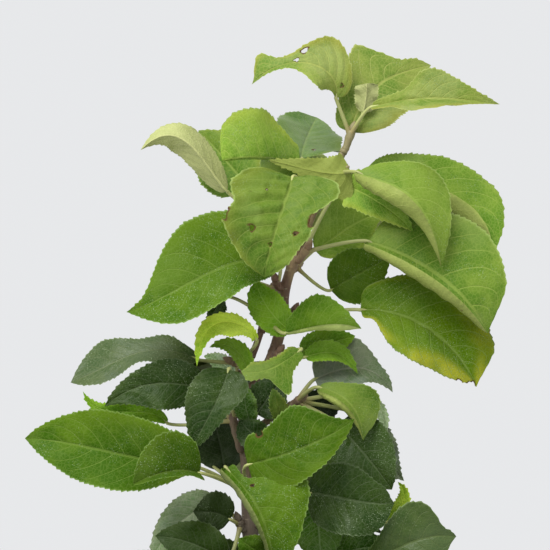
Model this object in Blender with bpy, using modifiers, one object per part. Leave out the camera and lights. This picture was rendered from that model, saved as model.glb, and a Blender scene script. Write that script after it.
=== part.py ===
"""Potted apple tree: a young column apple in a plain nursery pot.

One upright trunk leans to the right near its top and carries rosettes of serrated
leaves on short spurs. The pot, its soil, the trunk, every bough and every mass of
leaves is a closed solid of its own. +Y points away from the viewer, +X to the
viewer's right, and the origin is the middle of the pot's flat underside.

Places and sizes in this file are in millimetres and become metres in the meshes.
"""

import math
import random
from collections import namedtuple

import bmesh
import bpy
import numpy as np
from mathutils.bvhtree import BVHTree

MM = 0.001
TOUCHING_GAP = 0.3

# Pot and soil
POT_HEIGHT = 200.0
POT_TOP_RADIUS = 112.0
POT_FOOT_RADIUS = 86.0
POT_WALL = 3.0
RIM_HEIGHT = 18.0
RIM_OVERHANG = 5.0
FOOT_ROUNDING = 3.0
POT_SIDES = 32
SOIL_LEVEL = 180.0

# Trunk: places of its axis and its radius there, from the soil to the tip
TRUNK = (
    (0, 0, SOIL_LEVEL + TOUCHING_GAP, 11.0),
    (0, 0, 189, 8.2),
    (1, 1, 205, 7.0),
    (3, 2, 300, 6.4),
    (2, 0, 400, 5.9),
    (-2, -1, 500, 5.4),
    (-1, 0, 600, 4.8),
    (-4, 0, 660, 4.3),
    (-6, 0, 712, 3.8),
    (-3, 0, 729, 3.8),
    (7, 0, 744, 3.7),
    (13, 0, 758, 3.5),
    (17, 0, 775, 3.3),
    (18, 0, 790, 3.1),
    (22, 0, 806, 3.0),
    (28, 0, 821, 2.8),
    (38, 0, 846, 2.5),
    (48, 0, 866, 2.3),
    (55, 0, 879, 2.1),
)

# Leaf solids, drawn out of spheres with this many points round and rings along
LEAF_THICKNESS = 1.4
PLAIN_AROUND, ROLLED_AROUND = 4, 8
PLACED_STEPS, GROWN_STEPS = 6, 4
PETIOLE_RINGS = (0.0, 0.1, 0.55, 1.0)
PETIOLE_RADII = (1.3, 1.0)
PETIOLE_BEND = 0.18
SPUR_RADII = (2.0, 2.4, 3.2)
SPUR_STRAIGHT = 2.5

# Rule for the leaves that grow where no leaf is placed by hand
GROWN_PETIOLE = (18.0, 34.0)
GROWN_LENGTH = (68.0, 98.0)
GROWN_SLENDERNESS = (0.6, 0.72)
GROWN_RISE = (-25.0, 60.0)
GROWN_SPREAD = 110.0
GROWN_SAG = (8.0, 30.0)
GROWN_ROLL = 0.45
GROWN_TRIES = 200
SISTERS_APART = 5.0
CROWN_RADIUS = 158.0
CROWN_FOOT = 285.0
CROWN_TOP = 925.0

# The height below which the leaves follow the rule alone, and the eye of the viewer
SHOWN_FROM = 632.0
EYE = (12.0, -1600.0, 802.0)

# Rosettes on the side away from the viewer and below the placed leaves:
# name, height of the foot on the trunk, direction round the trunk in degrees, leaves
BEHIND = (
    ("behind_top_leaves", 842, 80, 5),
    ("behind_high_leaves", 790, 110, 5),
    ("behind_middle_leaves", 745, 70, 6),
    ("behind_low_leaves", 690, 72, 7),
    ("behind_bottom_leaves", 645, 60, 7),
)
LOWER_ROSETTES = 11
LOWER_FIRST, LOWER_LAST = 345.0, 590.0
LOWER_LEAVES = 6
LOWER_BOUGH = (44.0, 20.0)
GOLDEN_ANGLE = 137.5
SPUR_LENGTH = 12.0
SEED = 20

Bough = namedtuple("Bough", "name foot points radii")
Mass = namedtuple("Mass", "name limb foot head grown leaves")


BOUGHS = (
    Bough("left_shoot", 716, ((-11, -2, 733), (-5, -3, 746), (0, -3, 757), (4, -3, 768)),
          (2.8, 2.7, 2.5, 2.3, 2.0)),
    Bough("right_mid_bough", 704, ((6, -6, 711), (22, -8, 722)), (2.7, 2.4, 2.1)),
    Bough("low_right_bough", 648, ((8, -6, 657), (19, -9, 663)), (3.0, 2.5, 2.2)),
    Bough("bottom_right_bough", 600, ((10, -5, 608), (29, -8, 617)), (3.2, 2.7, 2.3)),
)


def leaf(name, base, lower, upper, tip, width, turn=(10, 10), curl=(0, 0), wave=1.5,
         widest=0.42, point=1.9, face=(0, -1, 0), underside=False, flat=(0, 0),
         left=(1, 1), right=(1, 1)):
    """The sizes of one leaf.

    Its midrib runs through base, lower, upper and tip. turn is how far its left and its
    right half lean out of the plane across face, and curl how much further they roll
    towards their edges, in degrees, past the share of each half that flat keeps flat.
    wave is the height of the margin's waves, widest the place along the midrib of the
    full width, and point how blunt the tip is. face is the way its upper side looks, or
    its underside where that is what shows. left and right are factors on the width of
    each half, at even steps from base to tip.
    """
    shown = [-value for value in face] if underside else list(face)
    return {"name": name, "midrib": np.array((base, lower, upper, tip), float),
            "width": width, "turn": turn, "curl": curl, "wave": wave,
            "widest": widest, "point": point, "face": np.array(shown, float),
            "flat": flat, "factors": (left, right)}


MASSES = (
    Mass("tip_leaves", "trunk", foot="tip", head=(60, 0, 892), grown=0, leaves=(
        leaf("top_left", (50, -4, 912), (44, -10, 928), (23, -14, 933), (-2, -8, 920),
             width=41, turn=(50, -25), widest=0.3, point=1.2,
             left=(0.2, 0.35, 0.6, 0.85, 1.05, 1.1, 0.8, 0.5, 0.5, 0.5, 1),
             right=(0.6, 0.65, 0.75, 1, 1.25, 1.1, 0.8, 0.55, 1.2, 4, 1)),
        leaf("top_back", (59, 4, 891), (69, 10, 913), (86, 20, 927), (111, 30, 935),
             width=50, turn=(-10, 15), wave=3, widest=0.5,
             left=(1, 0.75, 0.65, 0.75, 0.88, 1.05, 1.22, 0.85, 0.55, 0.8, 1),
             right=(1.1, 1.25, 1.15, 1.05, 1, 1, 1, 1, 1, 1.2, 1)),
        leaf("top_right", (72, -12, 906), (96, -22, 910), (120, -26, 910), (150, -20, 907),
             width=38, turn=(-5, 75), widest=0.4,
             left=(0.4, 0.3, 0.3, 0.4, 0.8, 1, 1, 0.95, 0.9, 0.85, 1),
             right=(1, 0.8, 0.8, 1.2, 1.8, 1.8, 1.6, 1.4, 1.2, 1, 1)),
        leaf("top_bud", (67, -1, 903), (68, -2, 908), (69, -3, 915), (69, -4, 921),
             width=15, turn=(20, 20), widest=0.8, point=4, underside=True),
    )),
    Mass("upper_left_leaves", "trunk", foot=849, head=(35, -8, 853), grown=0, leaves=(
        leaf("upper_left_front", (28, 2, 874), (13, -9, 874), (-3, -24, 874), (-20, -30, 872),
             width=62, turn=(-80, 5), widest=0.62, point=7,
             left=(1, 0.15, 0.12, 0.12, 0.12, 0.12, 0.12, 0.12, 0.12, 0.15, 0.3),
             right=(0.9, 0.61, 0.66, 0.75, 0.86, 0.95, 0.97, 0.97, 0.96, 0.96, 1.3)),
        leaf("front_holed", (23, -30, 862), (18, -46, 845), (11, -54, 823), (6, -48, 801),
             width=62, turn=(22, 10), wave=3, widest=0.35, point=2.4,
             left=(1, 1.25, 1.1, 0.85, 0.65, 0.75, 0.75, 0.75, 0.85, 0.9, 1),
             right=(1, 1, 1.05, 1.15, 1.05, 1, 1.25, 1.25, 1.25, 1.3, 1)),
    )),
    Mass("upper_front_leaves", "trunk", foot=866, head=(54, -8, 867), grown=0, leaves=(
        leaf("upper_pale", (59, -12, 866), (45, -14, 865), (29, -16, 868), (8, -20, 873),
             width=26, turn=(5, -5), widest=0.3, underside=True,
             left=(1.2, 1.2, 0.9, 0.8, 0.7, 0.7, 0.7, 0.7, 0.7, 0.7, 1),
             right=(2.2, 1.7, 1.2, 0.9, 0.7, 0.6, 0.55, 0.5, 0.5, 0.6, 1)),
        leaf("right_front", (63, -26, 865), (81, -38, 858), (100, -46, 843), (113, -40, 807),
             width=55, turn=(-32, 30), curl=(0, 170), widest=0.5, flat=(0, 0.3),
             left=(0.5, 0.6, 0.65, 0.75, 0.85, 0.95, 1, 1.05, 1.05, 1.1, 1),
             right=(1, 0.9, 0.95, 1, 1.05, 1.1, 1.1, 1.05, 1, 1, 1)),
    )),
    Mass("upper_back_leaves", "trunk", foot=864, head=(54, 9, 868), grown=1, leaves=(
        leaf("upper_back", (29, 4, 875), (31, 22, 885), (35, 42, 895), (39, 60, 904),
             width=43, widest=0.5, point=2.4,
             left=(1, 1, 1, 1, 1, 1, 1, 1, 1, 1, 1),
             right=(1, 1.3, 1.3, 1.2, 1.1, 1, 1, 1, 1, 1, 1)),
        leaf("right_back", (67, 22, 865), (92, 20, 860), (126, 17, 848), (149, 8, 816),
             width=60, turn=(-20, 12), curl=(0, 200), widest=0.5, flat=(0, 0.1),
             left=(0.5, 0.64, 0.7, 0.72, 0.74, 0.81, 0.88, 1.01, 1.29, 1.39, 1.25),
             right=(1, 1, 0.9, 0.8, 0.8, 0.85, 0.95, 1.15, 1.5, 1.8, 1)),
    )),
    Mass("far_left_leaves", "trunk", foot=828, head=(25, 4, 833), grown=0, leaves=(
        leaf("far_left_pale", (-17, -5, 854), (-30, -12, 871), (-47, -18, 887), (-70, -18, 879),
             width=29, turn=(50, 50), widest=0.58, underside=True),
        leaf("far_left_back", (-3, 10, 857), (-13, 20, 868), (-24, 27, 881), (-36, 32, 894),
             width=43),
    )),
    Mass("right_pair_leaves", "trunk", foot=813, head=(32, -8, 819), grown=0, leaves=(
        leaf("right_big", (70, -16, 823), (92, -28, 814), (119, -36, 796), (142, -28, 767),
             width=82, turn=(-20, 30), curl=(0, 160), wave=2, widest=0.5, point=2.6,
             flat=(0, 0.35),
             left=(1, 0.8, 0.85, 0.9, 0.95, 1, 1.05, 1.1, 1.2, 1.4, 1),
             right=(1, 0.6, 0.55, 0.55, 0.57, 0.6, 0.6, 0.6, 0.6, 0.7, 1)),
        leaf("right_middle", (57, -9, 857), (68, -14, 852), (83, -19, 842), (97, -22, 829),
             width=22, widest=0.35,
             left=(1.5, 1.5, 1.2, 1.1, 1, 1, 1, 1, 1, 1, 1),
             right=(1.5, 1.5, 1.2, 1, 1, 1, 1, 1, 1, 1, 1)),
    )),
    Mass("behind_upper_leaves", "trunk", foot=806, head=(27, 12, 809), grown=3, leaves=(
        leaf("back_centre", (37, 8, 818), (51, 13, 827), (65, 17, 836), (81, 20, 841),
             width=40,
             left=(0.7, 0.7, 0.75, 0.9, 1, 1.1, 1.1, 1.1, 1, 1, 1),
             right=(0.7, 0.7, 0.7, 0.75, 0.8, 0.8, 0.9, 1, 1, 1, 1)),
        leaf("dark_round", (47, 5, 793), (59, 9, 800), (72, 12, 807), (85, 14, 814),
             width=35),
    )),
    Mass("left_big_leaves", "trunk", foot=794, head=(13, -5, 799), grown=0, leaves=(
        leaf("left_big", (15, -10, 809), (-14, -24, 809), (-46, -34, 794), (-78, -30, 780),
             width=74, turn=(52, -15), wave=2, widest=0.45, point=1.4,
             left=(0.5, 0.6, 0.65, 0.68, 0.72, 0.85, 1.05, 1.35, 1.55, 1.3, 1),
             right=(1, 1, 1, 1, 0.98, 0.97, 0.95, 0.9, 0.75, 0.5, 0.5)),
    )),
    Mass("right_low_leaves", "trunk", foot=778, head=(24, -3, 780), grown=0, leaves=(
        leaf("right_low", (65, -12, 781), (92, -16, 777), (117, -20, 761), (136, -18, 734),
             width=67, turn=(-15, 45), wave=3, widest=0.45, point=2.2,
             left=(1, 0.8, 0.8, 0.88, 0.92, 0.95, 1, 1.1, 1.3, 1.7, 1),
             right=(0.6, 0.35, 0.6, 0.8, 0.88, 0.92, 0.97, 1, 1.1, 1.2, 1)),
    )),
    Mass("shoot_leaves", "left_shoot", foot="tip", head=(10, -6, 778), grown=0, leaves=(
        leaf("middle_left", (22, -14, 768), (13, -16, 776), (5, -14, 787), (1, -8, 799),
             width=22, widest=0.5, point=2.4),
        leaf("middle_right", (19, -26, 767), (32, -30, 770), (47, -34, 772), (65, -32, 770),
             width=38, turn=(-10, 20), curl=(0, 150),
             left=(1, 0.7, 0.75, 0.85, 0.95, 1.05, 1.1, 1.1, 1.1, 1, 1),
             right=(0.6, 0.4, 0.4, 0.4, 0.4, 0.5, 0.7, 1, 1.3, 1.3, 1)),
        leaf("left_hidden", (-19, 14, 788), (-23, 17, 784), (-26, 19, 779), (-31, 21, 772),
             width=12),
    )),
    Mass("centre_leaves", "trunk", foot=751, head=(15, -9, 755), grown=0, leaves=(
        leaf("centre_light", (28, -36, 757), (17, -48, 750), (5, -56, 745), (-8, -58, 745),
             width=38, turn=(10, -20), wave=1, widest=0.3,
             left=(0.5, 0.35, 0.35, 0.45, 0.75, 1.1, 0.45, 0.35, 0.55, 1, 1),
             right=(0.5, 0.4, 0.3, 0.25, 0.3, 0.3, 0.4, 0.5, 0.8, 1, 1)),
        leaf("mid_right_fold", (31, -16, 752), (42, -18, 755), (53, -19, 753), (63, -20, 742),
             width=15, turn=(10, 50)),
        leaf("mid_right_back", (28, -10, 755), (39, -10, 759), (51, -9, 762), (62, -6, 765),
             width=19),
    )),
    Mass("left_upper_leaves", "left_shoot", foot=745, head=(-14, -3, 749), grown=0, leaves=(
        leaf("pale_young", (1, -18, 763), (-8, -26, 772), (-25, -32, 772), (-35, -34, 747),
             width=21, turn=(30, -20),
             left=(1, 0.5, 0.5, 0.6, 0.8, 1, 1, 1, 1, 1, 1),
             right=(0.4, 0.25, 0.3, 0.4, 0.5, 0.55, 0.65, 0.8, 0.9, 1, 1)),
        leaf("below_young", (-5, -15, 742), (-8, -16, 752), (-16, -16, 759), (-28, -15, 758),
             width=16,
             left=(0.6, 0.6, 0.6, 0.6, 0.6, 0.6),
             right=(0.8, 0.8, 0.8, 0.8, 0.8, 0.8)),
        leaf("left_grey", (-35, -2, 750), (-64, -6, 756), (-88, -6, 748), (-114, -4, 736),
             width=26, turn=(45, -40), wave=2, widest=0.5, point=3.2,
             left=(1, 1.15, 1.1, 0.9, 0.62, 0.6, 0.82, 1, 1.15, 1.2, 1.5),
             right=(1, 0.92, 1.1, 0.89, 0.8, 1.05, 1.4, 1.65, 1.75, 1.9, 2)),
        leaf("grey_strip", (-12, -2, 740), (-18, 1, 746), (-25, 4, 750), (-32, 8, 752),
             width=11, wave=0),
    )),
    Mass("left_dark_leaves", "trunk", foot=696, head=(-14, -10, 716), grown=1, leaves=(
        leaf("dark_left", (-31, -12, 733), (-51, -18, 736), (-71, -20, 734), (-92, -20, 722),
             width=32,
             left=(1, 1, 1, 1, 1, 1),
             right=(1, 1, 0.95, 0.8, 0.8, 1)),
        leaf("dark_hanging", (-16, -30, 745), (-21, -38, 730), (-29, -40, 714), (-38, -36, 698),
             width=38,
             left=(1, 1, 0.9, 0.75, 0.6, 0.5, 0.5, 0.5, 0.6, 0.8, 1)),
        leaf("left_behind", (-54, -8, 711), (-71, -8, 718), (-91, -9, 719), (-106, -10, 731),
             width=11),
    )),
    Mass("right_mid_leaves", "right_mid_bough", foot="tip", head=(28, -11, 726), grown=0, leaves=(
        leaf("grey_blue", (37, -4, 738), (53, -7, 744), (70, -9, 744), (85, -8, 730),
             width=42, turn=(-20, 55), wave=3, point=1.4,
             left=(1, 1, 1, 0.95, 1, 1, 0.85, 0.65, 0.6, 0.8, 1),
             right=(1, 1, 1, 1, 1, 1, 1, 1, 1, 1, 1)),
        leaf("right_pale_edge", (39, -28, 734), (51, -34, 730), (61, -38, 720), (66, -34, 702),
             width=31, turn=(-38, 35), curl=(0, 150), flat=(0, 0.4),
             left=(0.5, 0.5, 0.55, 0.7, 0.95, 1.3, 1.6, 1.9, 2.1, 2.2, 1),
             right=(1, 1, 1, 1, 1, 1, 1, 1, 1, 1, 1)),
        leaf("grey_edge", (69, 2, 727), (76, 1, 721), (80, 0, 711), (77, -2, 696),
             width=7, wave=0),
        leaf("grey_right", (74, 4, 710), (79, 5, 699), (84, 7, 686), (93, 9, 674),
             width=16),
        leaf("dark_speckled", (51, -18, 711), (61, -23, 700), (73, -25, 686), (84, -20, 671),
             width=41),
    )),
    Mass("trunk_front_leaves", "trunk", foot=689, head=(2, -12, 702), grown=0, leaves=(
        leaf("dark_trunk", (1, -14, 717), (6, -14, 724), (12, -13, 732), (19, -10, 739),
             width=25),
        leaf("small_folded", (19, -14, 711), (16, -17, 718), (13, -18, 726), (11, -16, 733),
             width=11, wave=0),
        leaf("dark_right", (22, 7, 707), (34, 9, 716), (45, 10, 722), (59, 11, 726),
             width=25),
        leaf("trunk_high", (-2, -16, 711), (-5, -19, 719), (-6, -20, 727), (-5, -18, 735),
             width=14, widest=0.5, point=2.4),
        leaf("trunk_low", (8, -20, 698), (2, -23, 703), (-4, -24, 708), (-9, -22, 714),
             width=19, widest=0.5, point=2.4),
    )),
    Mass("left_low_leaves", "trunk", foot=668, head=(-12, -12, 674), grown=1, leaves=(
        leaf("left_bright", (-35, -24, 685), (-70, -32, 691), (-106, -34, 699), (-140, -28, 703),
             width=52, turn=(22, 5), wave=2, widest=0.56,
             left=(0.3, 0.5, 0.7, 0.83, 0.88, 0.88, 0.87, 0.87, 0.87, 0.93, 1),
             right=(1, 1, 0.97, 0.93, 0.9, 1)),
        leaf("front_left", (-33, -42, 683), (-45, -50, 685), (-58, -54, 683), (-73, -50, 677),
             width=51, turn=(75, 8), widest=0.45,
             left=(1, 0.4, 0.4, 0.4, 0.5, 1),
             right=(0.4, 0.65, 0.85, 0.92, 0.95, 0.95, 0.95, 0.95, 1, 1, 1)),
        leaf("dark_centre", (-19, 6, 681), (-21, 8, 693), (-24, 10, 706), (-27, 12, 719),
             width=31),
    )),
    Mass("centre_low_leaves", "trunk", foot=665, head=(-3, -16, 673), grown=0, leaves=(
        leaf("centre_bright", (-4, -44, 688), (15, -54, 694), (38, -58, 703), (60, -52, 716),
             width=45, turn=(0, 10), point=1.5,
             left=(1.2, 1.1, 0.85, 0.85, 0.95, 1.15, 1.4, 1.5, 1.4, 1.2, 1),
             right=(1, 1.05, 0.98, 0.92, 0.86, 0.82, 0.82, 0.85, 0.85, 0.9, 1)),
        leaf("front_low", (-17, -44, 686), (-3, -56, 671), (7, -62, 651), (12, -56, 623),
             width=64, turn=(-10, 40), curl=(0, 130), widest=0.5, flat=(0, 0.35),
             left=(0.5, 0.2, 0.2, 0.6, 1.05, 1.05, 0.95, 0.9, 0.95, 1, 1),
             right=(1, 0.7, 0.55, 0.5, 0.5, 0.48, 0.45, 0.45, 0.5, 0.8, 1)),
    )),
    Mass("right_bottom_leaves", "low_right_bough", foot="tip", head=(23, -12, 664),
             grown=1, leaves=(
        leaf("low_right", (33, -28, 670), (49, -35, 668), (67, -38, 665), (85, -34, 664),
             width=43, wave=2,
             left=(1, 1, 1, 1, 1, 1, 1, 1, 1.1, 1.4, 1),
             right=(1, 1, 1, 1, 1, 1, 1.1, 1.3, 1.6, 1.8, 1)),
        leaf("bottom_centre", (39, -8, 664), (39, -13, 651), (40, -15, 637), (41, -14, 622),
             width=32),
        leaf("small_light", (82, -5, 650), (88, -7, 657), (92, -8, 666), (88, -8, 675),
             width=9),
    )),
    Mass("bottom_left_leaves", "trunk", foot=646, head=(-10, -7, 651), grown=0, leaves=(
        leaf("bottom_dark", (-15, -12, 652), (-23, -14, 656), (-30, -14, 657), (-38, -13, 657),
             width=27),
        leaf("bottom_left_grey", (-24, -2, 662), (-37, -4, 656), (-52, -5, 644), (-65, -6, 624),
             width=27),
        leaf("bottom_left_dark", (-18, -20, 628), (-32, -24, 636), (-46, -25, 641), (-61, -22,
             643),
             width=30),
    )),
    Mass("bottom_right_leaves", "bottom_right_bough", foot="tip", head=(35, -12, 619),
             grown=2, leaves=(
        leaf("bottom_right", (60, -20, 621), (78, -26, 631), (99, -29, 641), (123, -26, 643),
             width=46, wave=2, widest=0.55, point=2.6,
             left=(0.5, 0.25, 0.3, 0.42, 0.56, 0.75, 0.95, 1.12, 1.15, 0.5, 0.8),
             right=(1, 1, 1, 1, 1, 1, 1, 1, 1.1, 1.3, 1)),
        leaf("bottom_mid_right", (46, -8, 625), (57, -12, 632), (70, -13, 635), (82, -12, 635),
             width=27),
    )),
    Mass("front_below_leaves", "trunk", foot=616, head=(-1, -14, 624), grown=3, leaves=(
        leaf("bottom_front", (11, -44, 627), (5, -49, 634), (-3, -53, 640), (-9, -54, 645),
             width=22),
    )),
)


def unit(vectors):
    """Vectors of length one along the given ones."""
    lengths = np.linalg.norm(vectors, axis=-1, keepdims=True)
    return vectors / np.maximum(lengths, 1e-9)


def material(name, colour, roughness):
    """A plain Principled material."""
    made = bpy.data.materials.new(name)
    made.diffuse_color = (*colour, 1.0)
    made.use_nodes = True
    shader = made.node_tree.nodes["Principled BSDF"]
    shader.inputs["Base Color"].default_value = (*colour, 1.0)
    shader.inputs["Roughness"].default_value = roughness
    return made


def add_object(name, mesh, collection):
    """An object at the origin whose places are in its mesh."""
    made = bpy.data.objects.new(name, mesh)
    collection.objects.link(made)
    return made


def smooth_path(points, per_span):
    """Points on a Catmull-Rom curve through the given rows, which may hold a radius too."""
    rows = np.array(points, float)
    padded = np.vstack((2 * rows[0] - rows[1], rows, 2 * rows[-1] - rows[-2]))
    path = []
    for before, start, end, after in zip(padded, padded[1:], padded[2:], padded[3:]):
        for step in range(per_span):
            t = step / per_span
            path.append(0.5 * (2 * start + (end - before) * t
                               + (2 * before - 5 * start + 4 * end - after) * t ** 2
                               + (3 * start - before - 3 * end + after) * t ** 3))
    path.append(rows[-1])
    return np.array(path)


def face_outwards(body):
    """Turn all faces of a closed body outwards."""
    bmesh.ops.recalc_face_normals(body, faces=body.faces)
    if body.calc_volume(signed=True) < 0:
        bmesh.ops.reverse_faces(body, faces=body.faces)


def tube(points, radii, bevel_resolution):
    """A mesh in metres: a closed, tapering tube along the points."""
    curve = bpy.data.curves.new("tube", "CURVE")
    curve.dimensions = "3D"
    curve.bevel_depth = MM
    curve.bevel_resolution = bevel_resolution
    curve.use_fill_caps = True
    spline = curve.splines.new("POLY")
    spline.points.add(len(points) - 1)
    for slot, point, radius in zip(spline.points, points, radii):
        slot.co = (point[0] * MM, point[1] * MM, point[2] * MM, 1.0)
        slot.radius = radius
    source = bpy.data.objects.new("tube", curve)
    bpy.context.scene.collection.objects.link(source)
    evaluated = source.evaluated_get(bpy.context.evaluated_depsgraph_get())
    mesh = bpy.data.meshes.new_from_object(evaluated)
    bpy.data.objects.remove(source)
    bpy.data.curves.remove(curve)
    body = bmesh.new()
    body.from_mesh(mesh)
    bmesh.ops.remove_doubles(body, verts=body.verts, dist=0.00001)
    bmesh.ops.triangulate(body, faces=body.faces)
    face_outwards(body)
    body.to_mesh(mesh)
    body.free()
    return mesh


def half_width(along, widest, point):
    """The outline: an ellipse up to the widest place, then a curve that narrows to the tip."""
    below = np.sqrt(np.clip(1 - ((widest - along) / widest) ** 2, 0, 1)) ** 0.9
    rest = np.clip((along - widest) / (1 - widest), 0, 1)
    above = (1 - rest ** point) * (1 - 0.22 * rest ** 2)
    return np.where(along < widest, below, above)


def width_factor(spec, along, right):
    """The factor on a half's width along the leaf, on a smooth curve through its factors."""
    sides = []
    for factors in spec["factors"]:
        curve = smooth_path(np.array(factors, float)[:, None], 8)[:, 0]
        sides.append(np.interp(along, np.linspace(0, 1, len(curve)), curve))
    return np.where(right, sides[1], sides[0])


def blade(spec, along, across):
    """Places on the middle surface of a leaf, and its normals there.

    along runs from 0 at the base to 1 at the tip, across from -1 at the left margin to 1
    at the right one. The midrib is the cubic through its four points. Each half turns
    away from it by its turn as far as its flat part goes, and from there on more and
    more, until the margin is at turn + curl.
    """
    powers = np.vander(np.array((0, 1 / 3, 2 / 3, 1.0)), 4, increasing=True)
    cubic = np.linalg.solve(powers, spec["midrib"])
    centre = np.vander(along, 4, increasing=True) @ cubic
    slope = np.stack((0 * along, 1 + 0 * along, 2 * along, 3 * along ** 2), -1) @ cubic
    tangent = unit(slope)
    normal = unit(spec["face"] - (tangent @ spec["face"])[:, None] * tangent)
    side = np.cross(tangent, normal)
    right = across > 0
    turn = np.radians(np.where(right, spec["turn"][1], spec["turn"][0]))
    curl = np.radians(np.where(right, spec["curl"][1], spec["curl"][0])) + 1e-4
    distance = np.abs(across)
    outline = half_width(along, spec["widest"], spec["point"])
    reach = outline * spec["width"] / 2 * width_factor(spec, along, right)
    flat = np.where(right, spec["flat"][1], spec["flat"][0])
    straight = np.minimum(distance, flat)
    rolled = np.maximum(distance - flat, 0) / (1 - flat)
    lean = turn + curl * rolled
    out = reach * (straight * np.cos(turn)
                   + (1 - flat) * (np.sin(lean) - np.sin(turn)) / curl)
    up = reach * (straight * np.sin(turn)
                  + (1 - flat) * (np.cos(turn) - np.cos(lean)) / curl)
    swing = np.sin(2 * math.pi * 2.2 * along + np.where(right, 0.0, 1.9))
    up = up + spec["wave"] * swing * distance ** 1.6 * outline
    places = centre + (np.sign(across) * out)[:, None] * side + up[:, None] * normal
    facing = (np.cos(lean)[:, None] * normal
              - (np.sign(across) * np.sin(lean))[:, None] * side)
    return places, facing


def petiole_path(head, spec, share):
    """Places on the petiole's arch, share 0 at the spur's head and 1 at the blade's base."""
    base, lower = spec["midrib"][:2]
    bend = base - unit(lower - base) * np.linalg.norm(base - head) * PETIOLE_BEND
    t = share[:, None]
    return (1 - t) ** 2 * head + 2 * t * (1 - t) * bend + t ** 2 * base


def leaf_mesh(spec, head, around, steps):
    """A leaf as a closed mesh: a sphere drawn out into a petiole and a blade pressed flat.

    The sphere's rings run from the spur's head to the leaf's tip. The first of them make
    the round petiole, and the others the blade, whose rings are two points thick.
    """
    first = len(PETIOLE_RINGS) - 1
    rings = first + steps
    body = bmesh.new()
    bmesh.ops.create_uvsphere(body, u_segments=around, v_segments=rings, radius=1.0)
    sphere = np.array([vert.co for vert in body.verts])
    ring = np.round(np.arccos(np.clip(sphere[:, 2], -1, 1)) / math.pi * rings)
    size = np.maximum(np.hypot(sphere[:, 0], sphere[:, 1]), 1e-9)
    level = np.where((ring > 0) & (ring < rings), sphere[:, 0] / size, 0.0)
    raised = np.where((ring > 0) & (ring < rings), sphere[:, 1] / size, 0.0)
    along = np.clip((ring - first) / steps, 0, 1)
    on_petiole = ring <= first
    across = np.where(on_petiole, 0.0, level)
    places, facing = blade(spec, along, across)
    places = places + (raised * LEAF_THICKNESS / 2)[:, None] * facing
    share = np.interp(ring, range(first + 1), PETIOLE_RINGS)
    arch = petiole_path(head, spec, share)
    ahead = unit(petiole_path(head, spec, share + 0.01) - arch)
    side = unit(np.cross(ahead, facing))
    up = np.cross(side, ahead)
    radius = PETIOLE_RADII[0] + (PETIOLE_RADII[1] - PETIOLE_RADII[0]) * share
    stalk = arch + (level * radius)[:, None] * side + (raised * radius)[:, None] * up
    places = np.where(on_petiole[:, None], stalk, places)
    for vert, place in zip(body.verts, places):
        vert.co = place * MM
    bmesh.ops.triangulate(body, faces=body.faces)
    face_outwards(body)
    mesh = bpy.data.meshes.new(spec["name"])
    body.to_mesh(mesh)
    body.free()
    return mesh


def search_tree(mesh):
    """A tree of a mesh's faces for finding what touches it."""
    vertices = [vert.co.copy() for vert in mesh.vertices]
    faces = [tuple(face.vertices) for face in mesh.polygons]
    return BVHTree.FromPolygons(vertices, faces, epsilon=TOUCHING_GAP * MM)


class Crown:
    """What stands already, so that nothing grows through it."""

    def __init__(self):
        self.standing = []
        self.outlines = []

    def add(self, mesh, mass):
        self.standing.append((mass, search_tree(mesh)))

    def touched(self, mesh, mass):
        """Whether the mesh meets a limb or another mass."""
        tree = search_tree(mesh)
        return any(tree.overlap(standing) for other, standing in self.standing
                   if other != mass)

    def add_outline(self, spec):
        """Keep a placed leaf's outline as the viewer sees it, and how far back it reaches."""
        along = np.concatenate((np.linspace(0, 1, 16), np.linspace(1, 0, 16)))
        across = np.repeat((-1.0, 1.0), 16)
        places = blade(spec, along, across)[0]
        self.outlines.append((as_seen(places), places[:, 1].max()))

    def hides(self, places):
        """Whether placed leaves in front of each place hide it from the viewer."""
        seen = as_seen(places)
        hidden = np.zeros(len(seen), bool)
        for outline, back in self.outlines:
            ends = np.roll(outline, -1, axis=0)
            rise = ends[:, 1] - outline[:, 1]
            crosses = (outline[:, 1] > seen[:, None, 1]) != (ends[:, 1] > seen[:, None, 1])
            share = (seen[:, None, 1] - outline[:, 1]) / np.where(rise == 0, 1e-9, rise)
            left = seen[:, None, 0] < outline[:, 0] + share * (ends[:, 0] - outline[:, 0])
            covered = (crosses & left).sum(axis=1) % 2 == 1
            hidden |= covered & (places[:, 1] > back)
        return hidden.all()


def as_seen(places):
    """Places projected from the viewer's eye on the upright plane through the trunk."""
    eye = np.array(EYE)
    share = eye[1] / (eye[1] - places[:, 1])
    return (eye + (places - eye) * share[:, None])[:, (0, 2)]


def trunk_path():
    """The trunk's axis and radius in short steps."""
    return smooth_path(TRUNK, 1)


def off_limb(path, height, towards):
    """The place 0.3 mm off a limb's bark at a height, on the side of a point, and outwards."""
    order = np.arange(len(path))
    index = np.interp(height, path[:, 2], order)
    axis = np.array([np.interp(index, order, path[:, k]) for k in range(4)])
    low, high = path[int(index)], path[min(int(index) + 1, len(path) - 1)]
    tangent = unit((high - low)[:3])
    outward = np.array(towards, float) - axis[:3]
    outward = unit(outward - (outward @ tangent) * tangent)
    return axis[:3] + outward * (axis[3] + TOUCHING_GAP), outward


def bough_path(bough):
    """A bough's axis and radius: off the trunk at a right angle, then through its points."""
    foot, outward = off_limb(trunk_path(), bough.foot, bough.points[0])
    first = foot + outward * bough.radii[0]
    axis = np.vstack((foot, smooth_path((first, *bough.points), 2)))
    share = np.linspace(0, 1, len(axis))
    knots = np.linspace(0, 1, len(bough.radii))
    return np.column_stack((axis, np.interp(share, knots, bough.radii)))


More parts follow.
